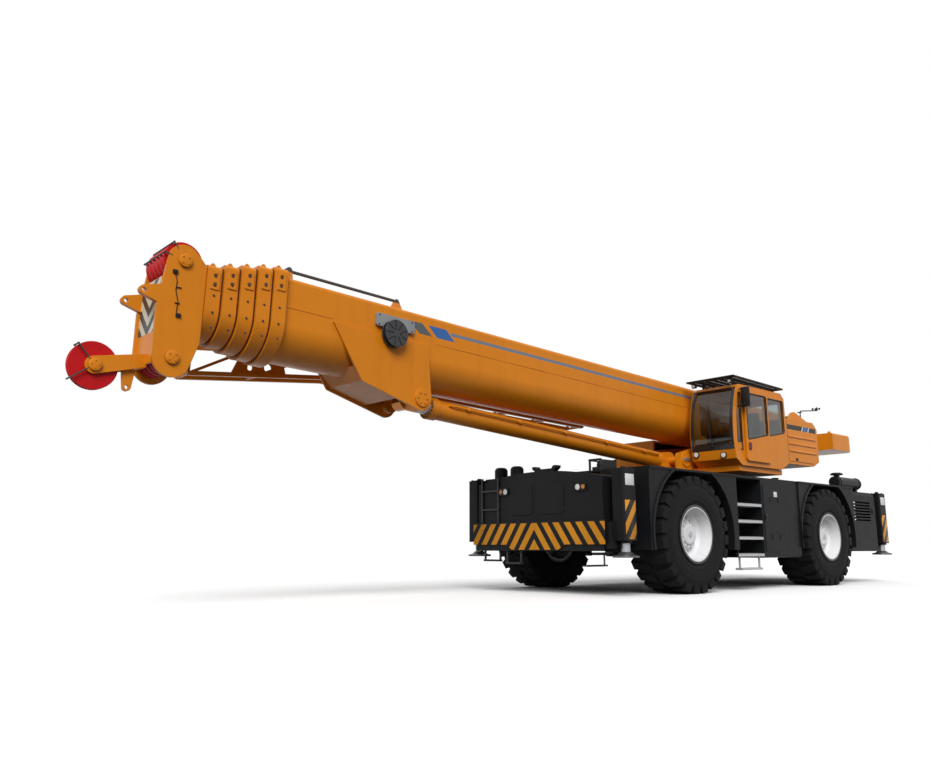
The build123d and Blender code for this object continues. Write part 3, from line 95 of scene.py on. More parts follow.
floor_mesh = bpy.data.meshes.new("studio_floor")
floor_mesh.from_pydata([(-400, -400, 0), (400, -400, 0), (400, 400, 0), (-400, 400, 0)], [], [(0, 1, 2, 3)])
floor = bpy.data.objects.new("studio_floor", floor_mesh)
bpy.context.scene.collection.objects.link(floor)
pale = bpy.data.materials.new("pale_floor")
pale.use_nodes = True
pale.node_tree.nodes.clear()
seen_floor = node(pale.node_tree, "ShaderNodeBsdfDiffuse", {"Color": (0.99, 0.99, 0.99, 1)})
lit_floor = node(pale.node_tree, "ShaderNodeBsdfDiffuse", {"Color": (0.12, 0.12, 0.12, 1)})
floor_mix = node(pale.node_tree, "ShaderNodeMixShader", {0: seen_directly(pale.node_tree), 1: lit_floor.outputs[0],
                                                         2: seen_floor.outputs[0]})
node(pale.node_tree, "ShaderNodeOutputMaterial", {"Surface": floor_mix.outputs[0]})
floor_mesh.materials.append(pale)

# Camera at knee height ahead of the cab side, looking up a little along the boom.
# Its place is measured from the slewing axis, as the fittings below are.
joint_places = {joint["name"]: Vector(joint["pos_m"]) for joint in frame["joints"] if joint.get("pos_m")}
SLEW_X = joint_places["slew"].x


def at(x, y, z):
    """A place measured from the slewing axis at ground level."""
    return Vector((SLEW_X + x, y, z))


CAMERA_YAW = math.radians(48.4)
CAMERA_PITCH = math.radians(11.32)
lens = bpy.data.cameras.new("photo_camera")
lens.lens = 32.29
lens.sensor_width = 36.0
lens.clip_end = 1000
camera = bpy.data.objects.new("photo_camera", lens)
look = Vector((-math.cos(CAMERA_YAW) * math.cos(CAMERA_PITCH), -math.sin(CAMERA_YAW) * math.cos(CAMERA_PITCH),
               math.sin(CAMERA_PITCH)))
camera.rotation_euler = look.to_track_quat("-Z", "Y").to_euler()
camera.location = at(15.104, 9.987, 0.746)
bpy.context.scene.collection.objects.link(camera)
bpy.context.scene.camera = camera
bpy.context.scene.view_settings.view_transform = "Standard"


# Carrier: welded steel frame, mudguards, tanks and housings, sprayed charcoal over primer.
# Road dust lies on the level faces, the sides carry faint rain runs and the edges are rubbed.
def blended(tree, share, under, over):
    """One colour laid over another."""
    return node(tree, "ShaderNodeMix", {0: share, 6: under, 7: over}, data_type="RGBA").outputs[2]


def stretched(tree, value, low, high, first=0.0, last=1.0):
    """A value's range spread over another range."""
    return node(tree, "ShaderNodeMapRange", {"Value": value, "From Min": low, "From Max": high, "To Min": first,
                                             "To Max": last}).outputs[0]


def surface_wear():
    """Shader group: paint with slow tone changes, rain runs, dust on level faces and rubbed edges."""
    tree = bpy.data.node_groups.new("surface_wear", "ShaderNodeTree")
    for name, kind in (("Paint", "Color"), ("Dust", "Color"), ("Worn", "Color"), ("Dust amount", "Float"),
                       ("Edge wear", "Float"), ("Mottle", "Float"), ("Roughness", "Float"), ("Grain", "Float")):
        tree.interface.new_socket(name, in_out="INPUT", socket_type="NodeSocket" + kind)
    for name, kind in (("Colour", "Color"), ("Roughness", "Float"), ("Height", "Float"), ("Normal", "Vector")):
        tree.interface.new_socket(name, in_out="OUTPUT", socket_type="NodeSocket" + kind)
    given = node(tree, "NodeGroupInput").outputs
    coordinates = node(tree, "ShaderNodeTexCoord").outputs
    place = coordinates["Object"]
    slow = node(tree, "ShaderNodeTexNoise", {"Vector": place, "Scale": 0.9, "Detail": 5.0}).outputs[0]
    fine = node(tree, "ShaderNodeTexNoise", {"Vector": place, "Scale": 11.0, "Detail": 8.0}).outputs[0]
    drawn = node(tree, "ShaderNodeMapping", {"Vector": place, "Scale": (7.0, 7.0, 0.4)}).outputs[0]
    runs = node(tree, "ShaderNodeTexNoise", {"Vector": drawn, "Scale": 1.0, "Detail": 6.0}).outputs[0]
    grain = node(tree, "ShaderNodeTexNoise", {"Vector": place, "Scale": given["Grain"], "Detail": 2.0}).outputs[0]
    shade = math_node(tree, "ADD", stretched(tree, slow, 0.35, 0.65), stretched(tree, runs, 0.52, 0.72))
    keep = math_node(tree, "SUBTRACT", 1.0, math_node(tree, "MULTIPLY", shade, given["Mottle"]))
    toned = node(tree, "ShaderNodeVectorMath", {0: given["Paint"], "Scale": keep}, operation="SCALE").outputs[0]
    upward = node(tree, "ShaderNodeSeparateXYZ", {0: coordinates["Normal"]}).outputs["Z"]
    level = stretched(tree, upward, 0.2, 0.95, 0.12, 1.0)
    dusty = math_node(tree, "MULTIPLY", level, stretched(tree, fine, 0.38, 0.68))
    dusty = math_node(tree, "MULTIPLY", dusty, given["Dust amount"])
    dusted = blended(tree, dusty, toned, given["Dust"])
    softened = node(tree, "ShaderNodeBevel", {"Radius": 0.008}, samples=4).outputs[0]
    shown = node(tree, "ShaderNodeNewGeometry").outputs["Normal"]
    bend = node(tree, "ShaderNodeVectorMath", {0: softened, 1: shown}, operation="DOT_PRODUCT").outputs["Value"]
    rubbed = math_node(tree, "MULTIPLY", stretched(tree, bend, 0.98, 0.80), stretched(tree, fine, 0.44, 0.60))
    rubbed = math_node(tree, "MULTIPLY", rubbed, given["Edge wear"])
    colour = blended(tree, rubbed, dusted, given["Worn"])
    rough = math_node(tree, "MULTIPLY_ADD", math_node(tree, "SUBTRACT", fine, 0.5), 0.22, given["Roughness"])
    rough = math_node(tree, "MULTIPLY_ADD", dusty, 0.35, rough)
    node(tree, "NodeGroupOutput", {"Colour": colour, "Roughness": rough, "Height": grain, "Normal": softened})
    return tree


wear = surface_wear()
ROAD_DUST = (0.30, 0.26, 0.21, 1)


def finish(name, paint, roughness, dust=0.25, mottle=0.10, grain=90.0, bump=0.02, specular=0.5, metallic=0.0,
           worn=(0.20, 0.20, 0.20), edge=0.45, pattern=None):
    """A sprayed, cast, rubber or bare metal finish; pattern(tree, paint) gives a paint that changes over it."""
    material = bpy.data.materials.new(name)
    material.use_nodes = True
    tree = material.node_tree
    shader = tree.nodes["Principled BSDF"]
    colour = (*paint, 1)
    if pattern:
        colour = pattern(tree, colour)
    values = {"Paint": colour, "Dust": ROAD_DUST, "Worn": (*worn, 1), "Dust amount": dust, "Edge wear": edge,
              "Mottle": mottle, "Roughness": roughness, "Grain": grain}
    used = node(tree, "ShaderNodeGroup", values, node_tree=wear)
    relief = node(tree, "ShaderNodeBump", {"Strength": bump, "Distance": 0.02, "Height": used.outputs["Height"],
                                           "Normal": used.outputs["Normal"]})
    tree.links.new(used.outputs["Colour"], shader.inputs["Base Color"])
    tree.links.new(used.outputs["Roughness"], shader.inputs["Roughness"])
    tree.links.new(relief.outputs[0], shader.inputs["Normal"])
    shader.inputs["Specular IOR Level"].default_value = specular
    shader.inputs["Metallic"].default_value = metallic
    return material


def dress(material, *names):
    """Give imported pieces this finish."""
    for name in names:
        slots = frame["nodes"][name].data.materials
        slots.clear()
        slots.append(material)


CORNERS = ("front_left", "front_right", "rear_left", "rear_right")
CHARCOAL = (0.0080, 0.0086, 0.0098)
charcoal = finish("charcoal_paint", CHARCOAL, 0.5, dust=0.04, mottle=0.18, specular=0.12, worn=(0.06, 0.06, 0.06))
dress(charcoal, "carrier_frame", "mudguards", "side_tanks", "front_housing", "engine_hood", "deck_fittings",
      "roof_guard")
black = finish("black_plastic", (0.007, 0.007, 0.008), 0.45, dust=0.05, specular=0.2, worn=(0.04, 0.04, 0.04))
iron = finish("axle_iron", (0.014, 0.015, 0.016), 0.6, dust=0.15, grain=40.0, bump=0.06, specular=0.2)
dress(iron, "axle_housings", "engine", *["knuckle_" + c for c in CORNERS])
zinc = finish("zinc_steel", (0.46, 0.47, 0.48), 0.42, dust=0.15, metallic=0.85, grain=140.0)


# Bolts, latches, handles and caps on the carrier's plates: bolts with washers, painted over with the plates,
# pressed paddle latches in black and a turned filler cap on the left tank.
def facing(place, way):
    """A frame at a place whose local z looks one way."""
    return Matrix.Translation(place) @ Vector(way).to_track_quat("Z", "Y").to_matrix().to_4x4()


def add_turned(shape, profile, place, segments=48):
    """A turned form: a profile of (radius, height) about the local z of a frame."""
    rings = []
    for radius, rise in profile:
        if radius < 1e-6:
            rings.append([shape.verts.new(place @ Vector((0, 0, rise)))])
            continue
        turns = [2 * math.pi * k / segments for k in range(segments)]
        rings.append([shape.verts.new(place @ Vector((radius * math.cos(t), radius * math.sin(t), rise)))
                      for t in turns])
    for lower, upper in zip(rings, rings[1:]):
        for k in range(segments):
            corners = [lower[k % len(lower)], lower[(k + 1) % len(lower)], upper[(k + 1) % len(upper)],
                       upper[k % len(upper)]]
            corners = list(dict.fromkeys(corners))
            if len(corners) > 2:
                shape.faces.new(corners)


def add_bolt(shape, place, way, size):
    """A hexagon bolt head on its washer."""
    spot = facing(place, way)
    add_turned(shape, [(0, 0), (1.25 * size, 0), (1.25 * size, 0.2 * size), (0, 0.2 * size)], spot, 20)
    add_turned(shape, [(0, 0.1 * size), (size, 0.1 * size), (size, 0.75 * size), (0.82 * size, 0.9 * size),
                       (0, 0.9 * size)], spot, 6)


def add_bolt_ring(shape, count, radius, place_of, way, size, start=0.0):
    """Bolts round a circle; place_of gives a place from its two distances off the middle."""
    for k in range(count):
        turn = 2 * math.pi * (k + start) / count
        add_bolt(shape, place_of(radius * math.cos(turn), radius * math.sin(turn)), way, size)


def add_block(shape, low, high, soft=0.006):
    """A block between two corners with softened edges."""
    low = Vector(low)
    high = Vector(high)
    place = Matrix.Translation((low + high) / 2) @ Matrix.Diagonal((high - low).to_4d())
    made = bmesh.ops.create_cube(shape, size=1.0, matrix=place)["verts"]
    edges = list({edge for vert in made for edge in vert.link_edges})
    bmesh.ops.bevel(shape, geom=edges, offset=soft, segments=2, profile=0.5, affect="EDGES")


def add_pipe(shape, points, radius, sides=12, closed=False):
    """A round bar bent through points."""
    count = len(points)
    rings = []
    up = Vector((0.1, 0.2, 1.0))
    for k, point in enumerate(points):
        before = points[k - 1] if closed or k else point
        after = points[(k + 1) % count] if closed or k < count - 1 else point
        way = (Vector(after) - Vector(before)).normalized()
        across = way.cross(up)
        if across.length < 0.2:
            across = way.cross(Vector((1.0, 0.3, 0.0)))
        across.normalize()
        over = across.cross(way)
        up = over
        turns = [2 * math.pi * j / sides for j in range(sides)]
        rings.append([shape.verts.new(Vector(point) + radius * (math.cos(t) * across + math.sin(t) * over))
                      for t in turns])
    pairs = list(zip(rings, rings[1:]))
    if closed:
        pairs.append((rings[-1], rings[0]))
    for first, second in pairs:
        shift = 0
        if closed and first is rings[-1]:
            shift = min(range(sides), key=lambda s: (first[0].co - second[s].co).length)
        for j in range(sides):
            shape.faces.new([first[j], first[(j + 1) % sides], second[(j + 1 + shift) % sides],
                             second[(j + shift) % sides]])
    if not closed:
        shape.faces.new(rings[0])
        shape.faces.new(rings[-1])


def piece(name, shape, material, body, crease=35):
    """A finished form as a piece that rides on a body."""
    bmesh.ops.recalc_face_normals(shape, faces=shape.faces)
    data = bpy.data.meshes.new(name)
    shape.to_mesh(data)
    shape.free()
    data.materials.append(material)
    data.shade_smooth()
    data.set_sharp_from_angle(angle=math.radians(crease))
    made = bpy.data.objects.new(name, data)
    bpy.context.scene.collection.objects.link(made)
    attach(made, body)
    return made


UPWARD = (0, 0, 1)
DECK_Z = 2.05
HOOD_Z = 1.99
GUARD_SIDE = 1.905
HOOD_SIDE = 1.78
AXLES_X = (2.75, -2.08)
TYRE_RADIUS = 0.975
ARCH_BOLT_REACH = 1.192
bolts = bmesh.new()
for side in (1, -1):
    for start, count in ((1.50, 9), (-3.22, 8)):
        for k in range(count):
            add_bolt(bolts, at(start + 0.30 * k, side * 1.84, DECK_Z), UPWARD, 0.014)
    for k in range(5):
        add_bolt(bolts, at(-4.60 + 0.29 * k, side * 1.56, HOOD_Z), UPWARD, 0.014)
    for k in range(9):
        turn = math.radians(20 + 17.5 * k)
        for axle_x in AXLES_X:
            spot = at(axle_x + ARCH_BOLT_REACH * math.cos(turn), side * (GUARD_SIDE + 0.02),
                      TYRE_RADIUS + ARCH_BOLT_REACH * math.sin(turn))
            if spot.z < DECK_Z - 0.03:
                add_bolt(bolts, spot, (0, side, 0), 0.009)
piece("deck_bolts", bolts, charcoal, "chassis")

latches = bmesh.new()
for side in (1, -1):
    for x, y, z in ((-3.43, HOOD_SIDE, 1.42), (-3.43, HOOD_SIDE, 1.72), (-4.55, HOOD_SIDE, 1.57),
                    (0.395, 1.892, 1.32)):
        add_block(latches, at(x - 0.035, side * y, z - 0.06), at(x + 0.035, side * (y + 0.012), z + 0.06), 0.004)
        add_block(latches, at(x - 0.022, side * (y + 0.008), z - 0.045),
                  at(x + 0.022, side * (y + 0.026), z + 0.015), 0.006)
        add_turned(latches, [(0, 0), (0.012, 0), (0.012, 0.004), (0, 0.006)],
                   facing(at(x, side * (y + 0.012), z + 0.038), (0, side, 0)), 16)
    for x in (-0.10, 0.19):
        for z in (0.95, 1.65):
            add_pipe(latches, [at(x, side * 1.893, z - 0.05), at(x, side * 1.893, z + 0.05)], 0.012)
piece("panel_latches", latches, black, "chassis")

filler = bmesh.new()
cap = facing(at(-0.58, 1.60, DECK_Z), UPWARD)
add_turned(filler, [(0, 0), (0.085, 0), (0.085, 0.014), (0.062, 0.018), (0.062, 0.042), (0.068, 0.046),
                    (0.068, 0.06), (0.058, 0.067), (0, 0.067)], cap, 40)
for k in range(12):
    turn = math.pi * k / 6
    knurl = cap @ Vector((0.069 * math.cos(turn), 0.069 * math.sin(turn), 0.0))
    add_pipe(filler, [knurl + Vector((0, 0, 0.046)), knurl + Vector((0, 0, 0.060))], 0.006, 8)
piece("filler_cap", filler, black, "chassis")


# Air cleaner and exhaust on the rear hood: a black moulded air cleaner with a rain cap on the left,
# and a heat-stained steel silencer with its pipe on the right.
def object_place(tree):
    """The X, Y and Z of a point in the frame at rest, as sockets."""
    return node(tree, "ShaderNodeSeparateXYZ", {0: node(tree, "ShaderNodeTexCoord").outputs["Object"]}).outputs


def stained_steel(tree, paint):
    """Black on the left of the machine, scorched steel on the right."""
    place = object_place(tree)
    right = math_node(tree, "LESS_THAN", place["Y"], 0.0)
    heat = node(tree, "ShaderNodeTexNoise", {"Scale": 3.0, "Detail": 6.0}).outputs[0]
    scorched = blended(tree, stretched(tree, heat, 0.4, 0.6), (0.16, 0.135, 0.115, 1), (0.075, 0.06, 0.055, 1))
    return blended(tree, right, paint, scorched)


dress(finish("air_and_exhaust", (0.008, 0.008, 0.009), 0.48, dust=0.06, specular=0.2, pattern=stained_steel),
      "air_intake")
CLEANER_MIDDLE = Vector((1.48, 2.19))
CLIP_REACH = 0.139
clips = bmesh.new()
for x in (-4.46, -3.54):
    for turn in (0.4, 1.4, 2.4):
        way = Vector((0, math.cos(turn), math.sin(turn)))
        add_bolt(clips, at(x + 0.015, *CLEANER_MIDDLE) + CLIP_REACH * way, way, 0.010)
piece("cleaner_clips", clips, zinc, "chassis")


# Steps: four grip-plate treads on each side between the wheels, bent from galvanised sheet,
# and a black ladder with hanging treads at the front right.
def ladder_tone(tree, paint):
    """Galvanised treads at the sides, charcoal ahead of the front axle."""
    place = object_place(tree)
    ahead = math_node(tree, "GREATER_THAN", place["X"], SLEW_X + 4.0)
    return blended(tree, ahead, paint, (*CHARCOAL, 1))


dress(finish("step_sheet", (0.50, 0.51, 0.52), 0.45, dust=0.2, metallic=0.25, grain=160.0, pattern=ladder_tone),
      "access_steps")
GRIP_PITCH = 0.077
GRIP_ROWS = 0.085
GRIP_DIMPLE = [(0.026, 0), (0.018, 0.006), (0.011, 0.008), (0.011, 0.0), (0, 0.0)]
STEP_TOPS = (1.55, 1.25, 0.95, 0.65)
grip = bmesh.new()
for side in (1, -1):
    for top in STEP_TOPS:
        for row in range(3):
            for k in range(11):
                spot = at(0.56 + GRIP_PITCH * k, side * (1.64 + GRIP_ROWS * row), top)
                add_turned(grip, GRIP_DIMPLE, facing(spot, UPWARD), 12)
        add_pipe(grip, [at(0.52, side * 1.873, top - 0.004), at(1.38, side * 1.873, top - 0.004)], 0.006, 8)
piece("step_grip", grip, zinc, "chassis")


# Front bumper and the outrigger boxes: charcoal plate with orange reflective bands on the bumper's face.
# The bands are cut on the slant and meet in a chevron at the middle.
REFLECTIVE = (0.66, 0.27, 0.02, 1)
BAND_PITCH = 0.25
BAND_SLANT = 0.71


def between(tree, value, low, high):
    """1 where a value lies between two others."""
    return math_node(tree, "MULTIPLY", math_node(tree, "GREATER_THAN", value, low),
                     math_node(tree, "LESS_THAN", value, high))


def slanted_share(tree, along, up, pitch, slant, share):
    """1 on every other slanted band."""
    sloped = math_node(tree, "MULTIPLY_ADD", up, slant, along)
    return math_node(tree, "LESS_THAN", math_node(tree, "FRACT", math_node(tree, "DIVIDE", sloped, pitch)), share)


def bumper_bands(tree, paint):
    """Orange bands on the bumper's front face."""
    place = object_place(tree)
    ahead = math_node(tree, "GREATER_THAN", place["X"], SLEW_X + 4.68)
    band = slanted_share(tree, math_node(tree, "ABSOLUTE", place["Y"]), place["Z"], BAND_PITCH, BAND_SLANT, 0.55)
    band = math_node(tree, "MULTIPLY", band, between(tree, place["Z"], 0.72, 1.165))
    return blended(tree, math_node(tree, "MULTIPLY", band, ahead), paint, REFLECTIVE)


dress(finish("banded_charcoal", CHARCOAL, 0.48, dust=0.04, mottle=0.15, specular=0.12, worn=(0.06, 0.06, 0.06),
             pattern=bumper_bands), "outrigger_boxes")


# Outrigger beams and jacks: welded columns with a banded sheet and a blank white plate on their outer face,
# a bolted top cover and bright rams over dark steel floats.
def column_bands(tree, paint):
    """Orange and black bands that lean along the machine."""
    place = object_place(tree)
    return blended(tree, slanted_share(tree, place["X"], place["Z"], BAND_PITCH, BAND_SLANT, 0.5), paint, REFLECTIVE)


dress(charcoal, *["outrigger_beam_" + c for c in CORNERS])
FLOAT_TOP = 0.69


def float_tones(tree, paint):
    """A bright ram over a dark steel float."""
    place = object_place(tree)
    return blended(tree, math_node(tree, "LESS_THAN", place["Z"], FLOAT_TOP), paint, (0.11, 0.11, 0.115, 1))


dress(finish("jack_steel", (0.38, 0.39, 0.41), 0.34, dust=0.05, mottle=0.04, metallic=0.7, bump=0.0, edge=0.0,
             pattern=float_tones), *["outrigger_jack_" + c for c in CORNERS])
warning_sheet = finish("warning_sheet", (0.010, 0.010, 0.010), 0.38, dust=0.05, specular=0.25, edge=0.0,
                       pattern=column_bands)
white_plate = finish("blank_plate", (0.66, 0.66, 0.65), 0.4, dust=0.10, mottle=0.06, edge=0.1)
COLUMN_X = {"front": 4.385, "rear": -5.065}
COLUMN_FACE = 1.81
COLUMN_Y = 1.69
COVER_Z = 1.993
for corner in CORNERS:
    end, hand = corner.split("_")
    side = 1 if hand == "left" else -1
    x = COLUMN_X[end]
    sheet = bmesh.new()
    add_block(sheet, at(x - 0.132, side * (COLUMN_FACE - 0.001), 0.88),
              at(x + 0.132, side * (COLUMN_FACE + 0.003), 1.49), 0.001)
    piece("warning_sheet_" + corner, sheet, warning_sheet, "beam_" + corner)
    plate = bmesh.new()
    add_block(plate, at(x - 0.11, side * (COLUMN_FACE - 0.001), 1.72),
              at(x + 0.11, side * (COLUMN_FACE + 0.004), 1.90), 0.001)
    for dx in (-0.095, 0.095):
        for z in (1.735, 1.885):
            add_turned(plate, [(0, 0.006), (0.006, 0.006), (0.007, 0.003), (0.007, 0)],
                       facing(at(x + dx, side * COLUMN_FACE, z), (0, side, 0)), 12)
    piece("blank_plate_" + corner, plate, white_plate, "beam_" + corner)
    cover = bmesh.new()
    y = side * COLUMN_Y
    add_block(cover, at(x - 0.14, y - 0.095, COVER_Z - 0.014), at(x + 0.14, y + 0.095, COVER_Z), 0.004)
    for dx in (-0.11, 0.11):
        for dy in (-0.07, 0.07):
            add_bolt(cover, at(x + dx, y + dy, COVER_Z), UPWARD, 0.014)
    add_turned(cover, [(0.04, 0), (0.04, 0.03), (0.03, 0.04), (0, 0.04)], facing(at(x, y, COVER_Z - 0.003), UPWARD), 24)
    piece("column_cover_" + corner, cover, charcoal, "beam_" + corner)

tank_plate = bmesh.new()
for side in (1, -1):
    add_block(tank_plate, at(-0.06, side * 1.890, 1.70), at(0.06, side * 1.897, 1.80), 0.001)
piece("blank_plates_tank", tank_plate, white_plate, "chassis")

# Lamps: black moulded housings bolted to the front housing and the rear box, with ribbed lenses.
# White with amber at the front, red with amber and white at the rear.
FRONT_LAMPS = (1.02, -0.77)
REAR_LAMPS = (1.25, -1.25)
AHEAD = (1, 0, 0)
BEHIND = (-1, 0, 0)
FRONT_FACE = 4.62
REAR_END = -5.34
housings = bmesh.new()
lenses = {"clear": bmesh.new(), "amber": bmesh.new(), "red": bmesh.new()}


def add_lens(shape, place, way, radius, ribs):
    """A domed lens with rings moulded in it."""
    profile = [(radius, 0.0), (radius, 0.006)]
    for k in range(ribs):
        near = radius * (1 - k / ribs)
        far = radius * (1 - (k + 0.5) / ribs)
        profile += [(near * 0.97, 0.012 + 0.004 * k / ribs), (far, 0.009 + 0.004 * k / ribs)]
    add_turned(shape, profile + [(0, 0.014)], facing(place, way), 32)


for y in FRONT_LAMPS:
    hand = 1 if y > 0 else -1
    add_block(housings, at(FRONT_FACE, y - 0.11, 1.66), at(FRONT_FACE + 0.032, y + 0.11, 1.79), 0.012)
    for dy, kind, radius in ((-0.052, "clear", 0.05), (0.062, "amber", 0.038)):
        centre = at(FRONT_FACE + 0.03, y + hand * dy, 1.725)
        add_turned(housings, [(radius + 0.008, -0.01), (radius + 0.008, 0.008), (radius, 0.012), (radius, 0.0)],
                   facing(centre, AHEAD), 32)
        add_lens(lenses[kind], centre, AHEAD, radius, 4)
for y in REAR_LAMPS:
    hand = -1 if y > 0 else 1
    add_block(housings, at(REAR_END - 0.022, y - 0.16, 1.03), at(REAR_END, y + 0.16, 1.12), 0.008)
    for dy, kind in ((-0.105, "red"), (0.0, "amber"), (0.105, "clear")):
        centre = at(REAR_END - 0.02, y + hand * dy, 1.075)
        add_turned(housings, [(0.047, -0.01), (0.047, 0.004), (0.041, 0.006), (0.041, 0.0)], facing(centre, BEHIND), 32)
        add_lens(lenses[kind], centre, BEHIND, 0.04, 4)
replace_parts(piece("lamp_housings", housings, black, "chassis"), "carrier_lamps")
LENS_COLOURS = {"clear": (0.75, 0.76, 0.74), "amber": (0.72, 0.23, 0.01), "red": (0.42, 0.008, 0.008)}
for kind, shape in lenses.items():
    lens_plastic = finish("lens_" + kind, LENS_COLOURS[kind], 0.12, dust=0.06, mottle=0.04, bump=0.0, edge=0.0)
    piece("lamp_lenses_" + kind, shape, lens_plastic, "chassis")

# Valve block on the front deck: a machined steel block on a bracket, with bent steel pipes to the ring.
# It stands under the lift cylinder, clear of the turning superstructure.
valves = bmesh.new()
add_block(valves, at(2.95, 0.16, DECK_Z), at(3.45, 0.48, DECK_Z + 0.02), 0.004)
add_block(valves, at(3.02, 0.22, DECK_Z + 0.02), at(3.38, 0.42, DECK_Z + 0.13), 0.008)
for k in range(4):
    add_turned(valves, [(0.028, 0), (0.028, 0.05), (0.020, 0.056), (0.020, 0.085), (0, 0.09)],
               facing(at(3.07 + 0.085 * k, 0.32, DECK_Z + 0.13), UPWARD), 20)
for x, y in ((2.98, 0.19), (3.42, 0.19), (2.98, 0.45), (3.42, 0.45)):
    add_bolt(valves, at(x, y, DECK_Z + 0.02), UPWARD, 0.012)
for x in (2.97, 3.40):
    for y in (0.19, 0.43):
        add_block(valves, at(x - 0.012, y - 0.02, DECK_Z + 0.015), at(x + 0.012, y + 0.02, DECK_Z + 0.27), 0.004)
    add_block(valves, at(x - 0.014, 0.165, DECK_Z + 0.24), at(x + 0.014, 0.455, DECK_Z + 0.275), 0.005)
for y in (0.20, 0.42):
    add_block(valves, at(2.96, y - 0.015, DECK_Z + 0.235), at(3.41, y + 0.015, DECK_Z + 0.262), 0.004)
add_block(valves, at(2.965, 0.446, DECK_Z + 0.03), at(3.405, 0.456, DECK_Z + 0.236), 0.003)
piece("valve_block", valves, iron, "chassis")
pipes = bmesh.new()
for k in range(3):
    y = 0.25 + 0.06 * k
    turns = [math.radians(15 * j) for j in range(7)]
    bend = [at(2.92 - 0.05 * math.sin(t), y, DECK_Z + 0.03 + 0.05 * math.cos(t)) for t in turns]
    add_pipe(pipes, [at(3.03, y, DECK_Z + 0.08)] + bend + [at(2.87, y, DECK_Z)], 0.012)
piece("valve_pipes", pipes, black, "chassis")

# Wheels: broad earthmover tyres, moulded with leaning tread lugs and a ringed sidewall,
# on white pressed rims held by nuts round a bolted hub.
RUBBER = (0.0085, 0.0085, 0.009)
BEAD_RADIUS = 0.452
AXLES_MIDDLE = SLEW_X + sum(AXLES_X) / 2
AXLE_SPREAD = (AXLES_X[0] - AXLES_X[1]) / 2
rubber = finish("tyre_rubber", RUBBER, 0.80, dust=0.06, mottle=0.2, grain=60.0, bump=0.08, specular=0.14,
                worn=(0.024, 0.023, 0.022), edge=0.5)


def rim_edge(tree, paint):
    """White out to the bead, then the rubber that laps over the flange."""
    place = object_place(tree)
    off_middle = math_node(tree, "ABSOLUTE", math_node(tree, "SUBTRACT", place["X"], AXLES_MIDDLE))
    along = math_node(tree, "SUBTRACT", off_middle, AXLE_SPREAD)
    high = math_node(tree, "SUBTRACT", place["Z"], TYRE_RADIUS)
    squares = math_node(tree, "MULTIPLY_ADD", along, along, math_node(tree, "MULTIPLY", high, high))
    flange = math_node(tree, "GREATER_THAN", math_node(tree, "SQRT", squares), BEAD_RADIUS)
    return blended(tree, flange, paint, (*RUBBER, 1))


dress(finish("rim_white", (0.72, 0.72, 0.73), 0.38, dust=0.10, mottle=0.06, worn=(0.35, 0.34, 0.33), edge=0.35,
             pattern=rim_edge), *["rim_" + c for c in CORNERS])
LUGS = 24
LUG_SPAN = 2 * math.pi * TYRE_RADIUS / LUGS
LUG_LEAD = 0.36 * LUG_SPAN
LUG_TOP = math.sqrt(TYRE_RADIUS ** 2 - LUG_LEAD ** 2)
SIDEWALL = [(0.470, 0.330), (0.492, 0.344), (0.525, 0.350), (0.556, 0.366), (0.562, 0.372), (0.590, 0.374),
            (0.598, 0.370), (0.632, 0.379), (0.690, 0.382), (0.697, 0.378), (0.760, 0.379), (0.766, 0.375),
            (0.837, 0.369), (0.882, 0.350), (0.914, 0.323), (0.929, 0.292), (0.932, 0.15)]


def add_lug(shape, place, hand):
    """A moulded lug with drafted sides and a worn, rounded top."""
    corners = [(0.30 * LUG_SPAN, 0.372), (-0.30 * LUG_SPAN, 0.372), (-0.02 * LUG_SPAN, 0.038), (LUG_LEAD, 0.038)]
    middle_t = sum(t for t, w in corners) / 4
    middle_w = sum(w for t, w in corners) / 4
    rings = []
    for reach, spread in ((LUG_TOP - 0.135, 1.10), (LUG_TOP - 0.016, 1.0), (LUG_TOP - 0.005, 0.975), (LUG_TOP, 0.93)):
        ring = []
        for t, w in corners:
            across = min(middle_w + (w - middle_w) * spread, 0.378)
            ring.append(shape.verts.new(place @ Vector((reach, middle_t + (t - middle_t) * spread, hand * across))))
        rings.append(ring)
    for lower, upper in zip(rings, rings[1:]):
        for k in range(4):
            shape.faces.new([lower[k], lower[(k + 1) % 4], upper[(k + 1) % 4], upper[k]])
    shape.faces.new(rings[-1])


for corner in CORNERS:
    side = 1 if corner.endswith("left") else -1
    centre = joint_places["roll_" + corner]
    place = Matrix.Translation(centre) @ Matrix.Rotation(math.radians(-90 * side), 4, "X")
    tyre = bmesh.new()
    add_turned(tyre, [(r, -w) for r, w in SIDEWALL] + [(r, w) for r, w in reversed(SIDEWALL)], place, 144)
    for k in range(LUGS):
        for hand, shift in ((1, 0.0), (-1, 0.5)):
            turn = 2 * math.pi * (k + shift) / LUGS - math.atan2(LUG_LEAD, LUG_TOP)
            add_lug(tyre, place @ Matrix.Rotation(turn, 4, "Z"), hand)
    made = piece("lugged_tyre_" + corner, tyre, rubber, "wheel_" + corner, 30)
    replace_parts(made, "tyre_" + corner)
    nuts = bmesh.new()
    outward = (0, side, 0)
    add_bolt_ring(nuts, 20, 0.285, lambda a, b: place @ Vector((a, b, 0.119)), outward, 0.018)
    add_bolt_ring(nuts, 12, 0.193, lambda a, b: place @ Vector((a, b, 0.200)), outward, 0.012, 0.5)
    add_turned(nuts, [(0.05, 0.236), (0.05, 0.246), (0.042, 0.252), (0, 0.252)], place, 24)
    piece("wheel_nuts_" + corner, nuts, zinc, "wheel_" + corner)

# Superstructure: turntable, cab, covers and counterweight of welded steel in orange-yellow two-coat paint.
# The left cover carries a dark strip with slanted blue and white marks under its top edge.
ORANGE = (0.68, 0.215, 0.006)
RUBBED_ORANGE = (0.36, 0.16, 0.05)


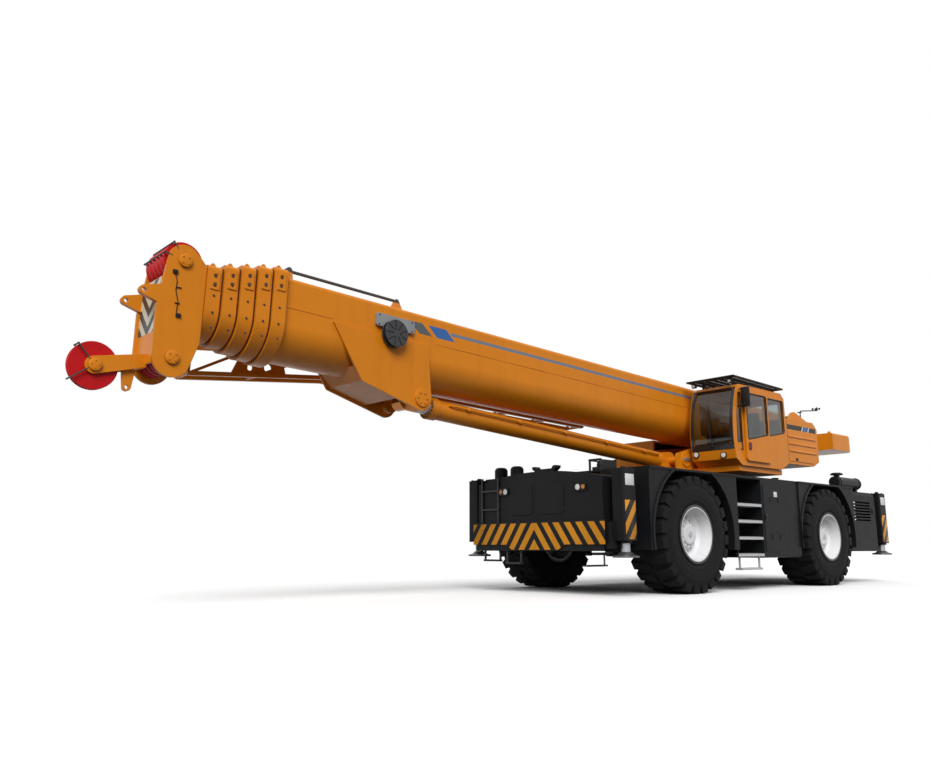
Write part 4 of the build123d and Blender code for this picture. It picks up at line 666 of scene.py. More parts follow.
def orange_finish(name, dust=0.06, pattern=None):
    """The two-coat paint, plain or with marks."""
    return finish(name, ORANGE, 0.36, dust=dust, mottle=0.07, specular=0.22, worn=RUBBED_ORANGE, pattern=pattern)


orange = orange_finish("orange_paint")
dress(orange, "turntable", "cab_shell", "cab_door", "counterweight", "winch_frame", "jib_lattice", "lift_barrel",
      "boom_section_6")
STRIPE_BLUE = (0.035, 0.13, 0.36, 1)
STRIPE_GREY = (0.10, 0.105, 0.115, 1)


def cover_strip(tree, paint):
    """A dark strip with slanted blue and white marks on the left cover."""
    place = object_place(tree)
    along = math_node(tree, "SUBTRACT", place["X"], SLEW_X)
    left = math_node(tree, "GREATER_THAN", place["Y"], 1.585)
    strip = math_node(tree, "MULTIPLY", between(tree, place["Z"], 3.17, 3.27), between(tree, along, -2.48, -1.24))
    strip = math_node(tree, "MULTIPLY", strip, left)
    leaning = math_node(tree, "MULTIPLY_ADD", place["Z"], 0.6, along)
    blue = between(tree, leaning, -0.17, -0.04)
    white = math_node(tree, "ADD", between(tree, leaning, 0.0, 0.05), between(tree, leaning, -0.26, -0.21))
    tone = blended(tree, blue, (0.012, 0.011, 0.010, 1), STRIPE_BLUE)
    tone = blended(tree, white, tone, (0.55, 0.56, 0.57, 1))
    return blended(tree, strip, paint, tone)


dress(orange_finish("marked_orange", pattern=cover_strip), "side_housings")
luff_pin = joint_places["luff"]
lift_foot = joint_places["lift_tilt"]
PLATE_FACE = 0.55
ring_bolts = bmesh.new()
add_bolt_ring(ring_bolts, 44, 1.005, lambda a, b: at(a, b, 2.20), UPWARD, 0.013)
for side in (1, -1):
    y = side * PLATE_FACE
    add_bolt_ring(ring_bolts, 6, 0.155, lambda a, b: luff_pin + Vector((a, y, b)), (0, side, 0), 0.016)
    add_block(ring_bolts, lift_foot + Vector((-0.10, y - 0.008, -0.03)), lift_foot + Vector((0.10, y + 0.008, 0.03)),
              0.004)
piece("turntable_bolts", ring_bolts, zinc, "upper")
seams = bmesh.new()
add_block(seams, at(-1.246, 1.588, 2.47), at(-1.238, 1.592, 3.36), 0.001)
add_block(seams, at(-1.62, 1.588, 2.53), at(-1.53, 1.604, 2.58), 0.006)
add_pipe(seams, [at(-2.30, 1.592, 2.505), at(-1.30, 1.592, 2.505)], 0.005, 8)
for k in range(3):
    add_block(seams, at(-1.35 + 0.05 * k, -1.553, 2.40), at(-1.33 + 0.05 * k, -1.538, 2.55), 0.003)
piece("cover_seams", seams, black, "upper")


# Cab trim: rubber seals round every pane, a black mirror on its arm, wiper, grab rail, handle and work lamps.
# The seals are extruded strips pressed over the edges of the openings.
def rounded_loop(points, radius):
    """A closed outline with its corners rounded."""
    loop = []
    count = len(points)
    for k, point in enumerate(points):
        back = (points[k - 1] - point).normalized() * radius
        ahead = (points[(k + 1) % count] - point).normalized() * radius
        for j in range(6):
            t = j / 5
            loop.append(point + back * (1 - t) ** 2 + ahead * t ** 2)
    return loop


SCREEN_FOOT = (0.79, 2.42)
SCREEN_BOW = (0.845, 2.95)
SCREEN_HEAD = (0.65, 3.83)


def screen_x(z):
    """How far ahead the bowed windscreen stands at a height: a circle through three points."""
    (ax, az), (bx, bz), (cx, cz) = SCREEN_FOOT, SCREEN_BOW, SCREEN_HEAD
    d = 2 * (ax * (bz - cz) + bx * (cz - az) + cx * (az - bz))
    sums = [x * x + y * y for x, y in (SCREEN_FOOT, SCREEN_BOW, SCREEN_HEAD)]
    centre_x = (sums[0] * (bz - cz) + sums[1] * (cz - az) + sums[2] * (az - bz)) / d
    centre_z = (sums[0] * (cx - bx) + sums[1] * (ax - cx) + sums[2] * (bx - ax)) / d
    radius = math.hypot(ax - centre_x, az - centre_z)
    return centre_x + math.sqrt(radius ** 2 - (z - centre_z) ** 2)


seals = bmesh.new()
panes = [[(-1.11, 3.06), (-0.49, 2.95), (-0.49, 3.72), (-1.11, 3.72)],
         [(0.54, 2.76), (0.72, 2.73), (0.70, 3.25), (0.62, 3.72), (0.54, 3.72)]]
for outline in panes:
    add_pipe(seals, rounded_loop([at(x, 1.598, z) for x, z in outline], 0.045), 0.010, 8, True)
far_pane = [(-1.00, 2.95), (0.56, 2.95), (0.56, 3.72), (-1.00, 3.72)]
add_pipe(seals, rounded_loop([at(x, 0.642, z) for x, z in far_pane], 0.05), 0.010, 8, True)
rear_pane = [(0.76, 3.02), (1.48, 3.02), (1.48, 3.70), (0.76, 3.70)]
add_pipe(seals, rounded_loop([at(-1.20 + (z - 3.0) * 0.038, y, z) for y, z in rear_pane], 0.06), 0.010, 8, True)
rises = [2.74 + 0.086 * k for k in range(13)]
screen = [at(screen_x(2.72) - 0.002, y, 2.72) for y in (0.77, 1.12, 1.47)]
screen += [at(screen_x(z) - 0.002, 1.53, z) for z in rises]
screen += [at(screen_x(3.79) - 0.002, y, 3.79) for y in (1.47, 1.12, 0.77)]
screen += [at(screen_x(z) - 0.002, 0.71, z) for z in reversed(rises)]
add_pipe(seals, screen, 0.012, 8, True)
piece("cab_seals", seals, black, "upper")
door_seal = bmesh.new()
door_pane = [(-0.35, 2.95), (0.41, 2.80), (0.41, 3.72), (-0.35, 3.72)]
add_pipe(door_seal, rounded_loop([at(x, 1.649, z) for x, z in door_pane], 0.05), 0.010, 8, True)
piece("door_seal", door_seal, black, "cab_door")
handle_red = finish("handle_red", (0.16, 0.012, 0.010), 0.4, dust=0.05)
handle = bmesh.new()
add_block(handle, at(0.325, 1.648, 2.60), at(0.415, 1.657, 2.75), 0.012)
grasp = ((1.655, 2.625), (1.684, 2.635), (1.684, 2.715), (1.655, 2.725))
add_pipe(handle, [at(0.37, y, z) for y, z in grasp], 0.010)
piece("door_handle", handle, handle_red, "cab_door")

trim = bmesh.new()
add_pipe(trim, [at(0.56, 1.59, 3.76), at(0.60, 1.66, 3.78), at(0.61, 1.72, 3.76), at(0.60, 1.73, 3.70)], 0.011)
add_pipe(trim, [at(0.62, 1.59, 3.44), at(0.63, 1.67, 3.43), at(0.62, 1.72, 3.44), at(0.60, 1.73, 3.50)], 0.011)
add_block(trim, at(0.545, 1.645, 3.41), at(0.605, 1.825, 3.80), 0.024)
for z in (2.60, 3.35):
    add_pipe(trim, [at(0.62, 1.595, z), at(0.62, 1.64, z)], 0.008)
add_pipe(trim, [at(0.62, 1.64, 2.58), at(0.62, 1.64, 3.37)], 0.011)
WIPER_Y = 1.12
WIPER_LEAN = 0.12
wiper_z = [2.80 + 0.07 * k for k in range(11)]
arm = [at(screen_x(z) + 0.022, WIPER_Y - WIPER_LEAN * (z - 2.8), z) for z in wiper_z[:7]]
add_pipe(trim, [at(screen_x(2.70) + 0.01, WIPER_Y, 2.68)] + arm, 0.008)
add_pipe(trim, [at(screen_x(z) + 0.006, WIPER_Y - 0.02 - WIPER_LEAN * (z - 2.8), z) for z in wiper_z], 0.008)
add_turned(trim, [(0, 0), (0.03, 0), (0.03, 0.03), (0.02, 0.04), (0, 0.04)],
           facing(at(screen_x(2.68) - 0.01, WIPER_Y, 2.68), (1, 0, 0.1)), 20)
LOW_LAMPS = ((1.343, 2.495), (0.75, 2.543))
ROOF_LAMPS_Y = (0.72, 1.52)
for y, z in LOW_LAMPS:
    add_turned(trim, [(0, -0.02), (0.055, -0.02), (0.062, 0.02), (0.062, 0.032), (0.052, 0.034), (0.050, 0.02)],
               facing(at(screen_x(z), y, z), AHEAD), 32)
for y in ROOF_LAMPS_Y:
    add_block(trim, at(0.70, y - 0.05, 3.89), at(0.76, y + 0.05, 3.96), 0.012)
    add_pipe(trim, [at(0.72, y, 3.95), at(0.72, y, 3.985)], 0.012)
piece("cab_trim", trim, black, "upper")
work_lamps = bmesh.new()
for y, z in LOW_LAMPS:
    add_lens(work_lamps, at(screen_x(z) + 0.018, y, z), AHEAD, 0.05, 4)
for y in ROOF_LAMPS_Y:
    add_lens(work_lamps, at(0.758, y, 3.925), AHEAD, 0.03, 3)
piece("work_lamp_lenses", work_lamps, bpy.data.materials["lens_clear"], "upper")
chrome = finish("rod_chrome", (0.38, 0.39, 0.41), 0.24, dust=0.05, mottle=0.04, metallic=1.0, bump=0.0, edge=0.0)
mirror = bmesh.new()
add_block(mirror, at(0.541, 1.662, 3.43), at(0.547, 1.808, 3.78), 0.002)
add_turned(mirror, [(0, 0.004), (0.026, 0.002), (0.030, 0)], facing(at(0.541, 1.735, 3.49), BEHIND), 24)
piece("mirror_glass", mirror, chrome, "upper")

# Roof guard mesh: welded wire mesh in charcoal, laid on the bars of the guard above the cab.
# Its wires run both ways, set closer than the bars that carry them.
GUARD_REAR_X = -1.08
GUARD_LENGTH = 1.91
GUARD_WIRE = 0.005
mesh = bmesh.new()


def guard_at(x, y, over):
    """A place on the sloping top of the roof guard."""
    return at(x, y, 3.98 + 0.04 * (x - GUARD_REAR_X) / GUARD_LENGTH + over)


for k in range(21):
    y = 0.64 + 0.05 * (k - 0.2)
    add_pipe(mesh, [guard_at(-1.03, y, 0.003), guard_at(0.78, y, 0.003)], GUARD_WIRE, 6)
for k in range(36):
    x = -1.02 + 0.051 * k
    add_pipe(mesh, [guard_at(x, 0.62, 0.010), guard_at(x, 1.63, 0.010)], GUARD_WIRE, 6)
piece("guard_mesh", mesh, charcoal, "upper")

# Windscreen border: the black printed edge of the bonded glass, which hides the frame behind it.
# It follows the bow of the screen just outside the shell.
border = bmesh.new()


def add_bowed_strip(shape, y0, y1, z0, z1):
    """A thin strip that follows the bow of the windscreen."""
    steps = max(1, round((z1 - z0) / 0.08))
    rows = []
    for k in range(steps + 1):
        z = z0 + (z1 - z0) * k / steps
        x = screen_x(z)
        ring = ((0.005, y0), (0.005, y1), (-0.004, y1), (-0.004, y0))
        rows.append([shape.verts.new(at(x + dx, y, z)) for dx, y in ring])
    for lower, upper in zip(rows, rows[1:]):
        for j in range(4):
            shape.faces.new([lower[j], lower[(j + 1) % 4], upper[(j + 1) % 4], upper[j]])
    shape.faces.new(rows[0])
    shape.faces.new(rows[-1])


for y0, y1 in ((0.655, 0.705), (1.535, 1.585)):
    add_bowed_strip(border, y0, y1, 2.60, 3.815)
for z0, z1 in ((2.60, 2.715), (3.795, 3.815)):
    add_bowed_strip(border, 0.705, 1.535, z0, z1)
printed_edge = finish("printed_glass_edge", (0.012, 0.013, 0.014), 0.14, dust=0.03, mottle=0.1, specular=0.45,
                      bump=0.0, edge=0.0)
piece("windscreen_border", border, printed_edge, "upper")

# Cab panes: laminated safety glass with a grey-green tint, bonded into the shell and the door.
# A faint noise in the roughness makes the smears.
glass = bpy.data.materials.new("tinted_glass")
glass.use_nodes = True
pane = glass.node_tree.nodes["Principled BSDF"]
pane.inputs["Base Color"].default_value = (0.50, 0.55, 0.55, 1)
pane.inputs["Transmission Weight"].default_value = 1.0
pane.inputs["IOR"].default_value = 1.45
smears = node(glass.node_tree, "ShaderNodeTexNoise", {"Scale": 5.0, "Detail": 6.0}).outputs[0]
glass.node_tree.links.new(stretched(glass.node_tree, smears, 0.4, 0.7, 0.02, 0.09), pane.inputs["Roughness"])
dress(glass, "cab_glass", "door_glass")

# Operator's place: a suspension seat in black cloth with sewn channels, armrests with levers,
# and a moulded console with a steering wheel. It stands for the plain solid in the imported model.
SEAT_Y = 1.12
FLOOR_Z = 2.36
ARM_Y = 0.305
STEERING_RADIUS = 0.19
cloth = finish("seat_cloth", (0.016, 0.016, 0.018), 0.85, dust=0.03, grain=420.0, bump=0.25, specular=0.2, edge=0.2)


def cushion(name, centre, size, lean, channels):
    """A crowned, padded form with its sides drawn in between the corners and sewn channels across it."""
    shape = bmesh.new()
    bmesh.ops.create_cube(shape, size=2.0)
    bmesh.ops.subdivide_edges(shape, edges=shape.edges[:], cuts=15, use_grid_fill=True)
    turn = Matrix.Translation(centre) @ Matrix.Rotation(lean, 4, "Y")
    for vert in shape.verts:
        a, b, c = vert.co
        drawn = 1 - 0.05 * (1 - c * c)
        round_a = a * math.sqrt(max(0.0, 1 - b * b * 0.10 - c * c * 0.16)) * drawn
        round_b = b * math.sqrt(max(0.0, 1 - a * a * 0.10 - c * c * 0.16)) * drawn
        crown = 0.72 + 0.28 * (1 - a * a) * (1 - b * b)
        seam = 0.90 + 0.10 * abs(math.sin(math.pi * channels * (a + 1) / 2)) ** 0.5 if c > 0.5 else 1.0
        rise = c * crown * seam if c > 0 else c
        vert.co = turn @ Vector((round_a * size[0], round_b * size[1], rise * size[2]))
    made = piece(name, shape, cloth, "upper", 80)
    return made


cushion("seat_cushion", at(-0.30, SEAT_Y, FLOOR_Z + 0.40), (0.29, 0.25, 0.075), 0.0, 4)
cushion("seat_back", at(-0.60, SEAT_Y, FLOOR_Z + 0.80), (0.33, 0.24, 0.065), math.radians(-80), 5)
for side in (1, -1):
    cushion("armrest_" + ("left" if side > 0 else "right"), at(-0.26, SEAT_Y + side * ARM_Y, FLOOR_Z + 0.565),
            (0.20, 0.042, 0.03), 0.0, 1)
console = bmesh.new()
add_block(console, at(-0.52, SEAT_Y - 0.20, FLOOR_Z), at(-0.06, SEAT_Y + 0.20, FLOOR_Z + 0.06), 0.012)
for k in range(5):
    z = FLOOR_Z + 0.075 + 0.045 * k
    add_block(console, at(-0.47, SEAT_Y - 0.17, z), at(-0.11, SEAT_Y + 0.17, z + 0.034), 0.014)
add_block(console, at(-0.53, SEAT_Y - 0.21, FLOOR_Z + 0.295), at(-0.05, SEAT_Y + 0.21, FLOOR_Z + 0.33), 0.008)
for side in (1, -1):
    y = SEAT_Y + side * ARM_Y
    add_block(console, at(-0.46, y - 0.04, FLOOR_Z + 0.41), at(-0.07, y + 0.04, FLOOR_Z + 0.535), 0.02)
    add_turned(console, [(0.03, 0), (0.026, 0.03), (0.008, 0.04), (0.008, 0.10), (0.018, 0.11), (0.020, 0.16),
                         (0.012, 0.175), (0, 0.175)], facing(at(-0.09, y, FLOOR_Z + 0.533), (0.1, 0, 1)), 20)
add_block(console, at(0.43, SEAT_Y - 0.32, FLOOR_Z), at(0.55, SEAT_Y + 0.32, FLOOR_Z + 0.48), 0.03)
add_block(console, at(0.44, SEAT_Y - 0.30, FLOOR_Z + 0.45), at(0.58, SEAT_Y + 0.30, FLOOR_Z + 0.59), 0.035)
add_pipe(console, [at(0.45, SEAT_Y, FLOOR_Z + 0.50), at(0.31, SEAT_Y, FLOOR_Z + 0.66)], 0.03)
wheel = facing(at(0.30, SEAT_Y, FLOOR_Z + 0.67), (-0.65, 0, 0.76))
turns = [2 * math.pi * k / 40 for k in range(40)]
hoop = [wheel @ Vector((STEERING_RADIUS * math.cos(t), STEERING_RADIUS * math.sin(t), 0.02)) for t in turns]
add_pipe(console, hoop, 0.014, 10, True)
for k in range(3):
    t = math.radians(90 + 120 * k)
    spoke = ((0.02, 0.0), (STEERING_RADIUS - 0.005, 0.02))
    add_pipe(console, [wheel @ Vector((r * math.cos(t), r * math.sin(t), rise)) for r, rise in spoke], 0.010)
add_turned(console, [(0.045, -0.01), (0.045, 0.012), (0.03, 0.02), (0, 0.02)], wheel, 24)
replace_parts(piece("seat_frame_and_console", console, black, "upper"), "operator_station")

# Winches: grooved drums with a layer of wound steel rope, drum caps with bolts,
# and a slim wind-sensor mast at the rear.
dress(finish("drum_steel", (0.10, 0.10, 0.10), 0.5, metallic=0.6), "main_drum", "aux_drum")
rope_steel = finish("rope_steel", (0.13, 0.125, 0.115), 0.5, dust=0.05, metallic=0.7, grain=300.0, bump=0.3, edge=0.2)
ROPE = 0.012
WOUND_HALF = 0.282
for name, reach in (("main_drum", 0.222), ("aux_drum", 0.197)):
    axle = joint_places["turn_" + name]
    rope = bmesh.new()
    add_turned(rope, [(reach - 0.004, -WOUND_HALF), (reach - 0.004, WOUND_HALF)], facing(axle, (0, 1, 0)), 48)
    laps = int(WOUND_HALF / ROPE)
    steps = 36
    helix = []
    for k in range(laps * steps + 1):
        t = 2 * math.pi * k / steps
        y = -WOUND_HALF + ROPE + (2 * WOUND_HALF - 2 * ROPE) * k / (laps * steps)
        helix.append(axle + Vector((reach * math.cos(t), y, reach * math.sin(t))))
    add_pipe(rope, helix, ROPE, 8)
    piece("wound_rope_" + name, rope, rope_steel, name)
caps = bmesh.new()
for name in ("main_drum", "aux_drum"):
    for side in (1, -1):
        axle = joint_places["turn_" + name] + Vector((0, side * 0.435, 0))
        add_bolt_ring(caps, 8, 0.082, lambda a, b: axle + Vector((a, 0, b)), (0, side, 0), 0.012)
piece("drum_cap_bolts", caps, zinc, "upper")
mast = bmesh.new()
add_block(mast, at(-4.42, 0.30, 3.985), at(-4.30, 0.38, 4.0), 0.003)
MAST_Y = 0.355
SENSOR_X = -5.22
SENSOR_REACH = 0.09
rod = ((-4.36, 3.86), (-4.36, 3.99), (-4.40, 4.03), (SENSOR_X, 4.13))
add_pipe(mast, [at(x, MAST_Y, z) for x, z in rod], 0.014)
add_turned(mast, [(0, 0), (0.035, 0), (0.04, 0.05), (0.02, 0.07), (0, 0.07)],
           facing(at(SENSOR_X, MAST_Y, 4.125), UPWARD), 24)
hub = at(SENSOR_X, MAST_Y, 4.18)
for k in range(3):
    t = math.radians(30 + 120 * k)
    tip = hub + SENSOR_REACH * Vector((math.cos(t), math.sin(t), 0))
    add_pipe(mast, [hub, tip], 0.005, 8)
    add_turned(mast, [(0.028, 0), (0.024, 0.014), (0.012, 0.024), (0, 0.027)],
               facing(tip, (-math.sin(t), math.cos(t), 0)), 16)
piece("wind_sensor", mast, black, "upper")

# Boom: six folded and welded box sections with round bellies, in orange-yellow paint.
# The base carries a thin grey-blue line, two slanted stripes on each side and a long weld seam.
BOOM_LEAN = math.radians(2.03)
ALONG = Vector((math.cos(BOOM_LEAN), 0, math.sin(BOOM_LEAN)))
OVER = Vector((-math.sin(BOOM_LEAN), 0, math.cos(BOOM_LEAN)))
LEFTWARD = Vector((0, 1, 0))
BOOM_HALF = 0.44
LIFT_PIN = (10.45, -0.70)


def boom_at(u, y, v):
    """A place along the boom, across it and above its foot pin."""
    return luff_pin + ALONG * u + Vector((0, y, 0)) + OVER * v


def measured_from(tree, start, way):
    """A distance from a place along a way, as a socket."""
    place = node(tree, "ShaderNodeTexCoord").outputs["Object"]
    moved = node(tree, "ShaderNodeVectorMath", {0: place, 1: start}, operation="SUBTRACT").outputs[0]
    return node(tree, "ShaderNodeVectorMath", {0: moved, 1: way}, operation="DOT_PRODUCT").outputs["Value"]


def boom_measure(tree, way):
    """A distance from the foot pin, as a socket."""
    return measured_from(tree, luff_pin, way)


def slanted_between(tree, u, v, level, slant, low, high):
    """1 between two slanted lines that cross a level of the boom."""
    sloped = math_node(tree, "MULTIPLY_ADD", math_node(tree, "SUBTRACT", v, level), slant, u)
    return between(tree, sloped, low, high)


def boom_stripes(tree, paint):
    """Grey and blue slanted stripes and a thin line on the sides of the base."""
    u = boom_measure(tree, ALONG)
    v = boom_measure(tree, OVER)
    across = math_node(tree, "ABSOLUTE", boom_measure(tree, LEFTWARD))
    flank = between(tree, across, 0.425, 0.46)
    tall = math_node(tree, "MULTIPLY", between(tree, v, 0.284, 0.450), flank)
    grey = slanted_between(tree, u, v, 0.441, -1.2, 10.458, 10.706)
    blue = slanted_between(tree, u, v, 0.455, -1.1, 10.003, 10.361)
    thin = math_node(tree, "MULTIPLY", between(tree, v, 0.369, 0.421), between(tree, u, 3.187, 9.90))
    colour = blended(tree, math_node(tree, "MULTIPLY", grey, tall), paint, STRIPE_GREY)
    colour = blended(tree, math_node(tree, "MULTIPLY", blue, tall), colour, STRIPE_BLUE)
    return blended(tree, math_node(tree, "MULTIPLY", thin, flank), colour, (0.17, 0.20, 0.25, 1))


dress(orange_finish("striped_orange", 0.05, boom_stripes), "boom_base")
welds = bmesh.new()
for side in (1, -1):
    for start, stop in ((1.2, 10.2), (12.05, 12.75)):
        count = int((stop - start) / 0.15)
        line = [boom_at(start + (stop - start) * k / count, side * (BOOM_HALF + 0.001 * math.sin(7 * k)), 0.18)
                for k in range(count + 1)]
        add_pipe(welds, line, 0.006, 8)
    bracket = [(10.38, 0.12), (10.27, -0.70), (10.33, -0.83), (10.45, -0.885)]
    add_pipe(welds, [boom_at(u, side * 0.470, v) for u, v in bracket], 0.005, 8)
piece("boom_welds", welds, orange, "boom")
pins = bmesh.new()
for side in (1, -1):
    add_bolt_ring(pins, 6, 0.085, lambda a, b: boom_at(LIFT_PIN[0] + a, side * 0.495, LIFT_PIN[1] + b), (0, side, 0),
                  0.015)
piece("lift_pin_bolts", pins, orange, "boom")

# Section collars: forged rings whose side pads are held by bolts in round recesses.
# Each ring's bolts ride on its own section, and a dark line of painted shade runs round its rear edge, standing in for
# the shadow in the gap at the collar step.
BASE_FRONT = 13.0
COLLAR_PITCH = 0.211
# Dark red-brown painted shade for the gap at each collar's rear edge.
COLLAR_GAP_SHADE = (0.10, 0.018, 0.004, 1)


def collar_gap_shade(start):
    """The pattern of a section whose collar begins at start along the boom: a dark line of painted shade at that edge.
    """
    def gap_shade_line(tree, paint):
        return blended(tree, between(tree, boom_measure(tree, ALONG), start, start + 0.020), paint, COLLAR_GAP_SHADE)
    return gap_shade_line


# Sections 2 to 5 get the painted shade line at the rear edge of their collar.
for index in range(2, 6):
    edge = collar_gap_shade(BASE_FRONT + COLLAR_PITCH * (index - 2) + 0.008)
    dress(orange_finish("section_orange_" + str(index), pattern=edge), "boom_section_" + str(index))
dark_bolt = finish("dark_bolt", (0.045, 0.043, 0.042), 0.5, dust=0.04, metallic=0.4, specular=0.3)
for index in range(1, 6):
    inset = -0.075 if index == 1 else 0.042 * (index - 2) - 0.045
    middle = BASE_FRONT - 0.0955 if index == 1 else BASE_FRONT + COLLAR_PITCH * (index - 1) - 0.1005
    half = BOOM_HALF - inset
    top = 0.598 - inset - 0.08
    heads = bmesh.new()
    for side in (1, -1):
        for drop in (0.06, 0.18):
            add_bolt(heads, boom_at(middle, side * (half + 0.002), top - drop), (0, side, 0), 0.017)
        for v in (-0.30, -0.10, 0.12):
            add_bolt(heads, boom_at(middle, side * half, v), (0, side, 0), 0.013)
    body = "boom" if index == 1 else "boom_section_" + str(index)
    piece("collar_bolts_" + str(index), heads, dark_bolt, body)


# Cable reel and length-sensor line on the boom's left side: a grey pressed cover over a dark spring reel,
# and a slim dark bar on orange posts along the top.
REEL = (11.05, 0.146)


def reel_tones(tree, paint):
    """Grey cover, dark reel, orange posts and the dark bar above the boom."""
    v = boom_measure(tree, OVER)
    across = boom_measure(tree, LEFTWARD)
    side_piece = math_node(tree, "MULTIPLY", math_node(tree, "GREATER_THAN", across, 0.435),
                           math_node(tree, "LESS_THAN", v, 0.46))
    reel = math_node(tree, "GREATER_THAN", across, 0.4955)
    tone = blended(tree, reel, (0.24, 0.25, 0.26, 1), (0.016, 0.017, 0.02, 1))
    line = math_node(tree, "GREATER_THAN", v, 0.692)
    return blended(tree, line, blended(tree, side_piece, paint, tone), (0.035, 0.030, 0.026, 1))


dress(finish("reel_paint", ORANGE, 0.42, dust=0.06, mottle=0.08, pattern=reel_tones), "boom_fittings")
reel = bmesh.new()
add_bolt_ring(reel, 6, 0.07, lambda a, b: boom_at(REEL[0] + a, 0.60, REEL[1] + b), LEFTWARD, 0.011)
for k in range(9):
    t = math.radians(40 * k)
    spoke = [boom_at(REEL[0] + r * math.cos(t), 0.602, REEL[1] + r * math.sin(t)) for r in (0.095, 0.19)]
    add_pipe(reel, spoke, 0.007, 8)
for u in (10.70, 11.29):
    for v in (0.26, 0.40):
        add_bolt(reel, boom_at(u, 0.49, v), LEFTWARD, 0.010)
piece("reel_fixings", reel, black, "boom")


# Boom head: profile-cut side plates with a front plate marked in pale and dark chevrons,
# red cast sheaves on bolted pins.
HEAD_PIN = (14.144, 0.48)
LOWER_PIN = (14.184, -0.76)
NOSE_PIN = (14.974, -0.951)


def head_chevrons(tree, paint):
    """Pale and dark chevrons on the plate that looks ahead."""
    u = boom_measure(tree, ALONG)
    v = boom_measure(tree, OVER)
    across = math_node(tree, "ABSOLUTE", boom_measure(tree, LEFTWARD))
    front = math_node(tree, "MULTIPLY", between(tree, u, 14.39, 14.40), between(tree, across, -0.1, 0.289))
    front = math_node(tree, "MULTIPLY", front, between(tree, v, -0.45, 0.225))
    band = slanted_share(tree, across, v, 0.24, -1.0, 0.5)
    tone = blended(tree, band, (0.045, 0.045, 0.042, 1), (0.62, 0.58, 0.45, 1))
    return blended(tree, front, paint, tone)


dress(orange_finish("marked_head", 0.05, head_chevrons), "boom_head")
red = finish("sheave_red", (0.50, 0.004, 0.007), 0.42, dust=0.03, specular=0.2, worn=(0.20, 0.06, 0.06))
dress(red, "head_sheaves", "lower_sheaves", "nose_sheave")
keepers = bmesh.new()
for u, v in (HEAD_PIN, LOWER_PIN):
    for side in (1, -1):
        add_turned(keepers, [(0.085, -0.003), (0.085, 0.010), (0.070, 0.016), (0, 0.016)],
                   facing(boom_at(u, side * 0.355, v), (0, side, 0)), 32)
        add_bolt_ring(keepers, 4, 0.055, lambda a, b: boom_at(u + a, side * 0.371, v + b), (0, side, 0), 0.010, 0.5)
u, v = NOSE_PIN
for side in (1, -1):
    add_turned(keepers, [(0.075, -0.003), (0.075, 0.008), (0.060, 0.014), (0, 0.014)],
               facing(boom_at(u, side * 0.105, v), (0, side, 0)), 32)
    add_bolt_ring(keepers, 4, 0.045, lambda a, b: boom_at(u + a, side * 0.118, v + b), (0, side, 0), 0.008)
piece("sheave_pin_caps", keepers, orange, "boom_section_6")

# Telescope cylinder end: the turned steel end of the cylinder inside the boom, held by a round cross bar.
# It shows through the open tail and rides on the base section.
RAM_V = 0.27
ram_end = bmesh.new()
add_turned(ram_end, [(0, 0), (0.075, 0), (0.085, 0.01), (0.085, 0.09), (0.125, 0.10), (0.125, 0.16), (0.105, 0.17),
                     (0.105, 0.60), (0, 0.60)], facing(boom_at(-0.28, 0.0, RAM_V), ALONG), 40)
add_bolt_ring(ram_end, 8, 0.106, lambda a, b: boom_at(-0.18, a, RAM_V + b), -ALONG, 0.010, 0.5)
add_pipe(ram_end, [boom_at(-0.235, y, RAM_V) for y in (-0.425, 0.425)], 0.04, 24)
piece("telescope_cylinder_end", ram_end, iron, "boom")

# Rope guards and head cable: steel bars that keep the ropes in the sheaves, on short arms from the pins,
# and a black sensor cable clipped to the left side plate.
guards = bmesh.new()
for (u, v), reach, half, arm, turns in ((HEAD_PIN, 0.262, 0.335, 0.16, (12, 54)),
                                       (NOSE_PIN, 0.300, 0.085, 0.075, (48, -38))):
    for turn in turns:
        along, over = math.cos(math.radians(turn)), math.sin(math.radians(turn))
        add_pipe(guards, [boom_at(u + reach * along, y, v + reach * over) for y in (-half, half)], 0.011)
        for y in (-half + 0.012, half - 0.012):
            stay = [boom_at(u + r * along, y, v + r * over) for r in (arm, reach + 0.012)]
            add_pipe(guards, stay, 0.010)
piece("rope_guards", guards, dark_bolt, "boom_section_6")
cables = bmesh.new()
HEAD_FACE = 0.329
line = [(14.25, 0.30), (14.215, 0.20), (14.22, 0.08), (14.18, -0.06), (14.185, -0.20)]
add_pipe(cables, [boom_at(u, HEAD_FACE + 0.006, v) for u, v in line], 0.006, 10)
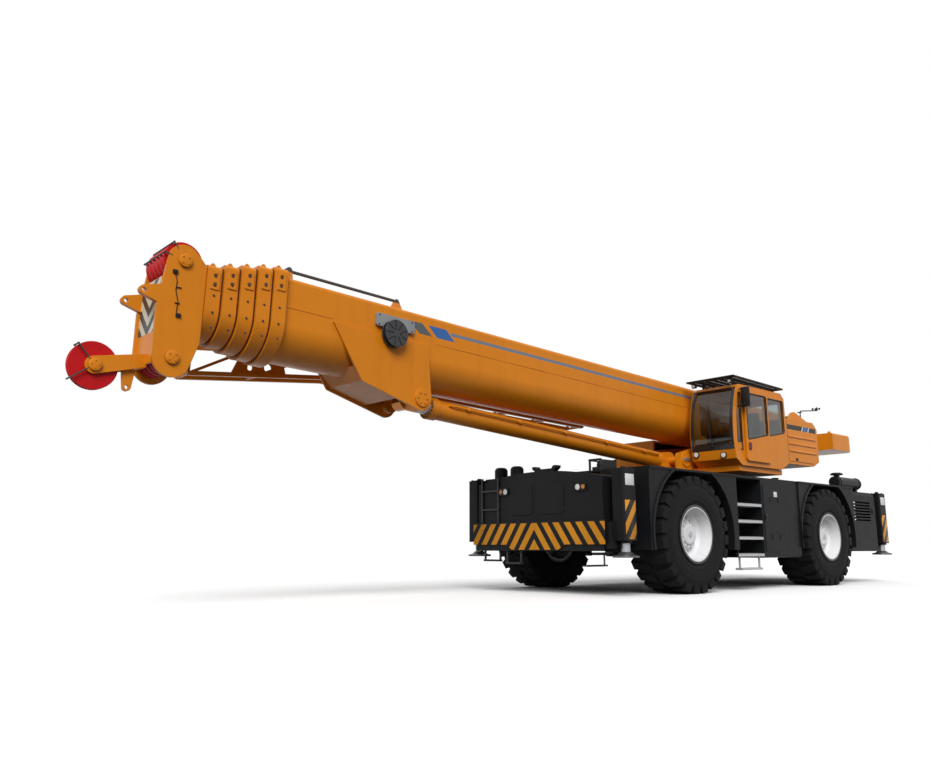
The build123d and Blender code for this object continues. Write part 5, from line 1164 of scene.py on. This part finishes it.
for u, v in ((14.25, 0.31), (14.16, -0.23)):
    spot = boom_at(u, HEAD_FACE, v)
    add_block(cables, spot - Vector((0.032, 0, 0.025)), spot + Vector((0.032, 0.024, 0.025)), 0.005)
for v in (0.12, -0.08):
    spot = boom_at(14.19, HEAD_FACE, v)
    add_block(cables, spot - Vector((0.035, 0, 0.006)), spot + Vector((0.03, 0.016, 0.006)), 0.003)
piece("head_cables", cables, black, "boom_section_6")

# Lift cylinder: orange barrel with a bolted gland, a painted feed pipe in clamps along its left side, bright rod.
# The pipe and clamps ride on the barrel.
lift_eye = boom_at(LIFT_PIN[0], 0.0, LIFT_PIN[1])
lift_way = (lift_eye - lift_foot).normalized()
lift_over = Vector((-lift_way.z, 0, lift_way.x))
MOUTH = (lift_eye - lift_foot).length - 0.47


def on_lift(s, y, rise):
    """A place along the lift cylinder, across it and above its axis."""
    return lift_foot + lift_way * s + Vector((0, y, 0)) + lift_over * rise


def rod_tones(tree, paint):
    """Bright steel with a painted eye at its end."""
    along = measured_from(tree, lift_foot, lift_way)
    return blended(tree, math_node(tree, "GREATER_THAN", along, MOUTH + 0.22), paint, (*ORANGE, 1))


dress(finish("lift_rod_steel", (0.42, 0.43, 0.45), 0.25, dust=0.03, metallic=0.35, bump=0.0, edge=0.0,
             pattern=rod_tones), "lift_rod")
fittings = bmesh.new()
add_bolt_ring(fittings, 16, 0.150, lambda a, b: on_lift(MOUTH, a, b), lift_way, 0.013)
piece("gland_bolts", fittings, dark_bolt, "lift_barrel")
feed = bmesh.new()
run = ((0.42, 0.13, 0.06), (0.44, 0.18, 0.07), (0.52, 0.19, 0.07), (MOUTH - 0.42, 0.19, 0.07),
       (MOUTH - 0.34, 0.18, 0.07), (MOUTH - 0.32, 0.13, 0.06))
add_pipe(feed, [on_lift(*spot) for spot in run], 0.017)
clamp = Vector((0.03, 0, 0))
for k in range(5):
    s = 0.9 + 1.15 * k
    add_block(feed, on_lift(s, 0.125, 0.04) - clamp, on_lift(s, 0.213, 0.10) + clamp, 0.008)
piece("lift_feed_pipe", feed, orange, "lift_barrel")
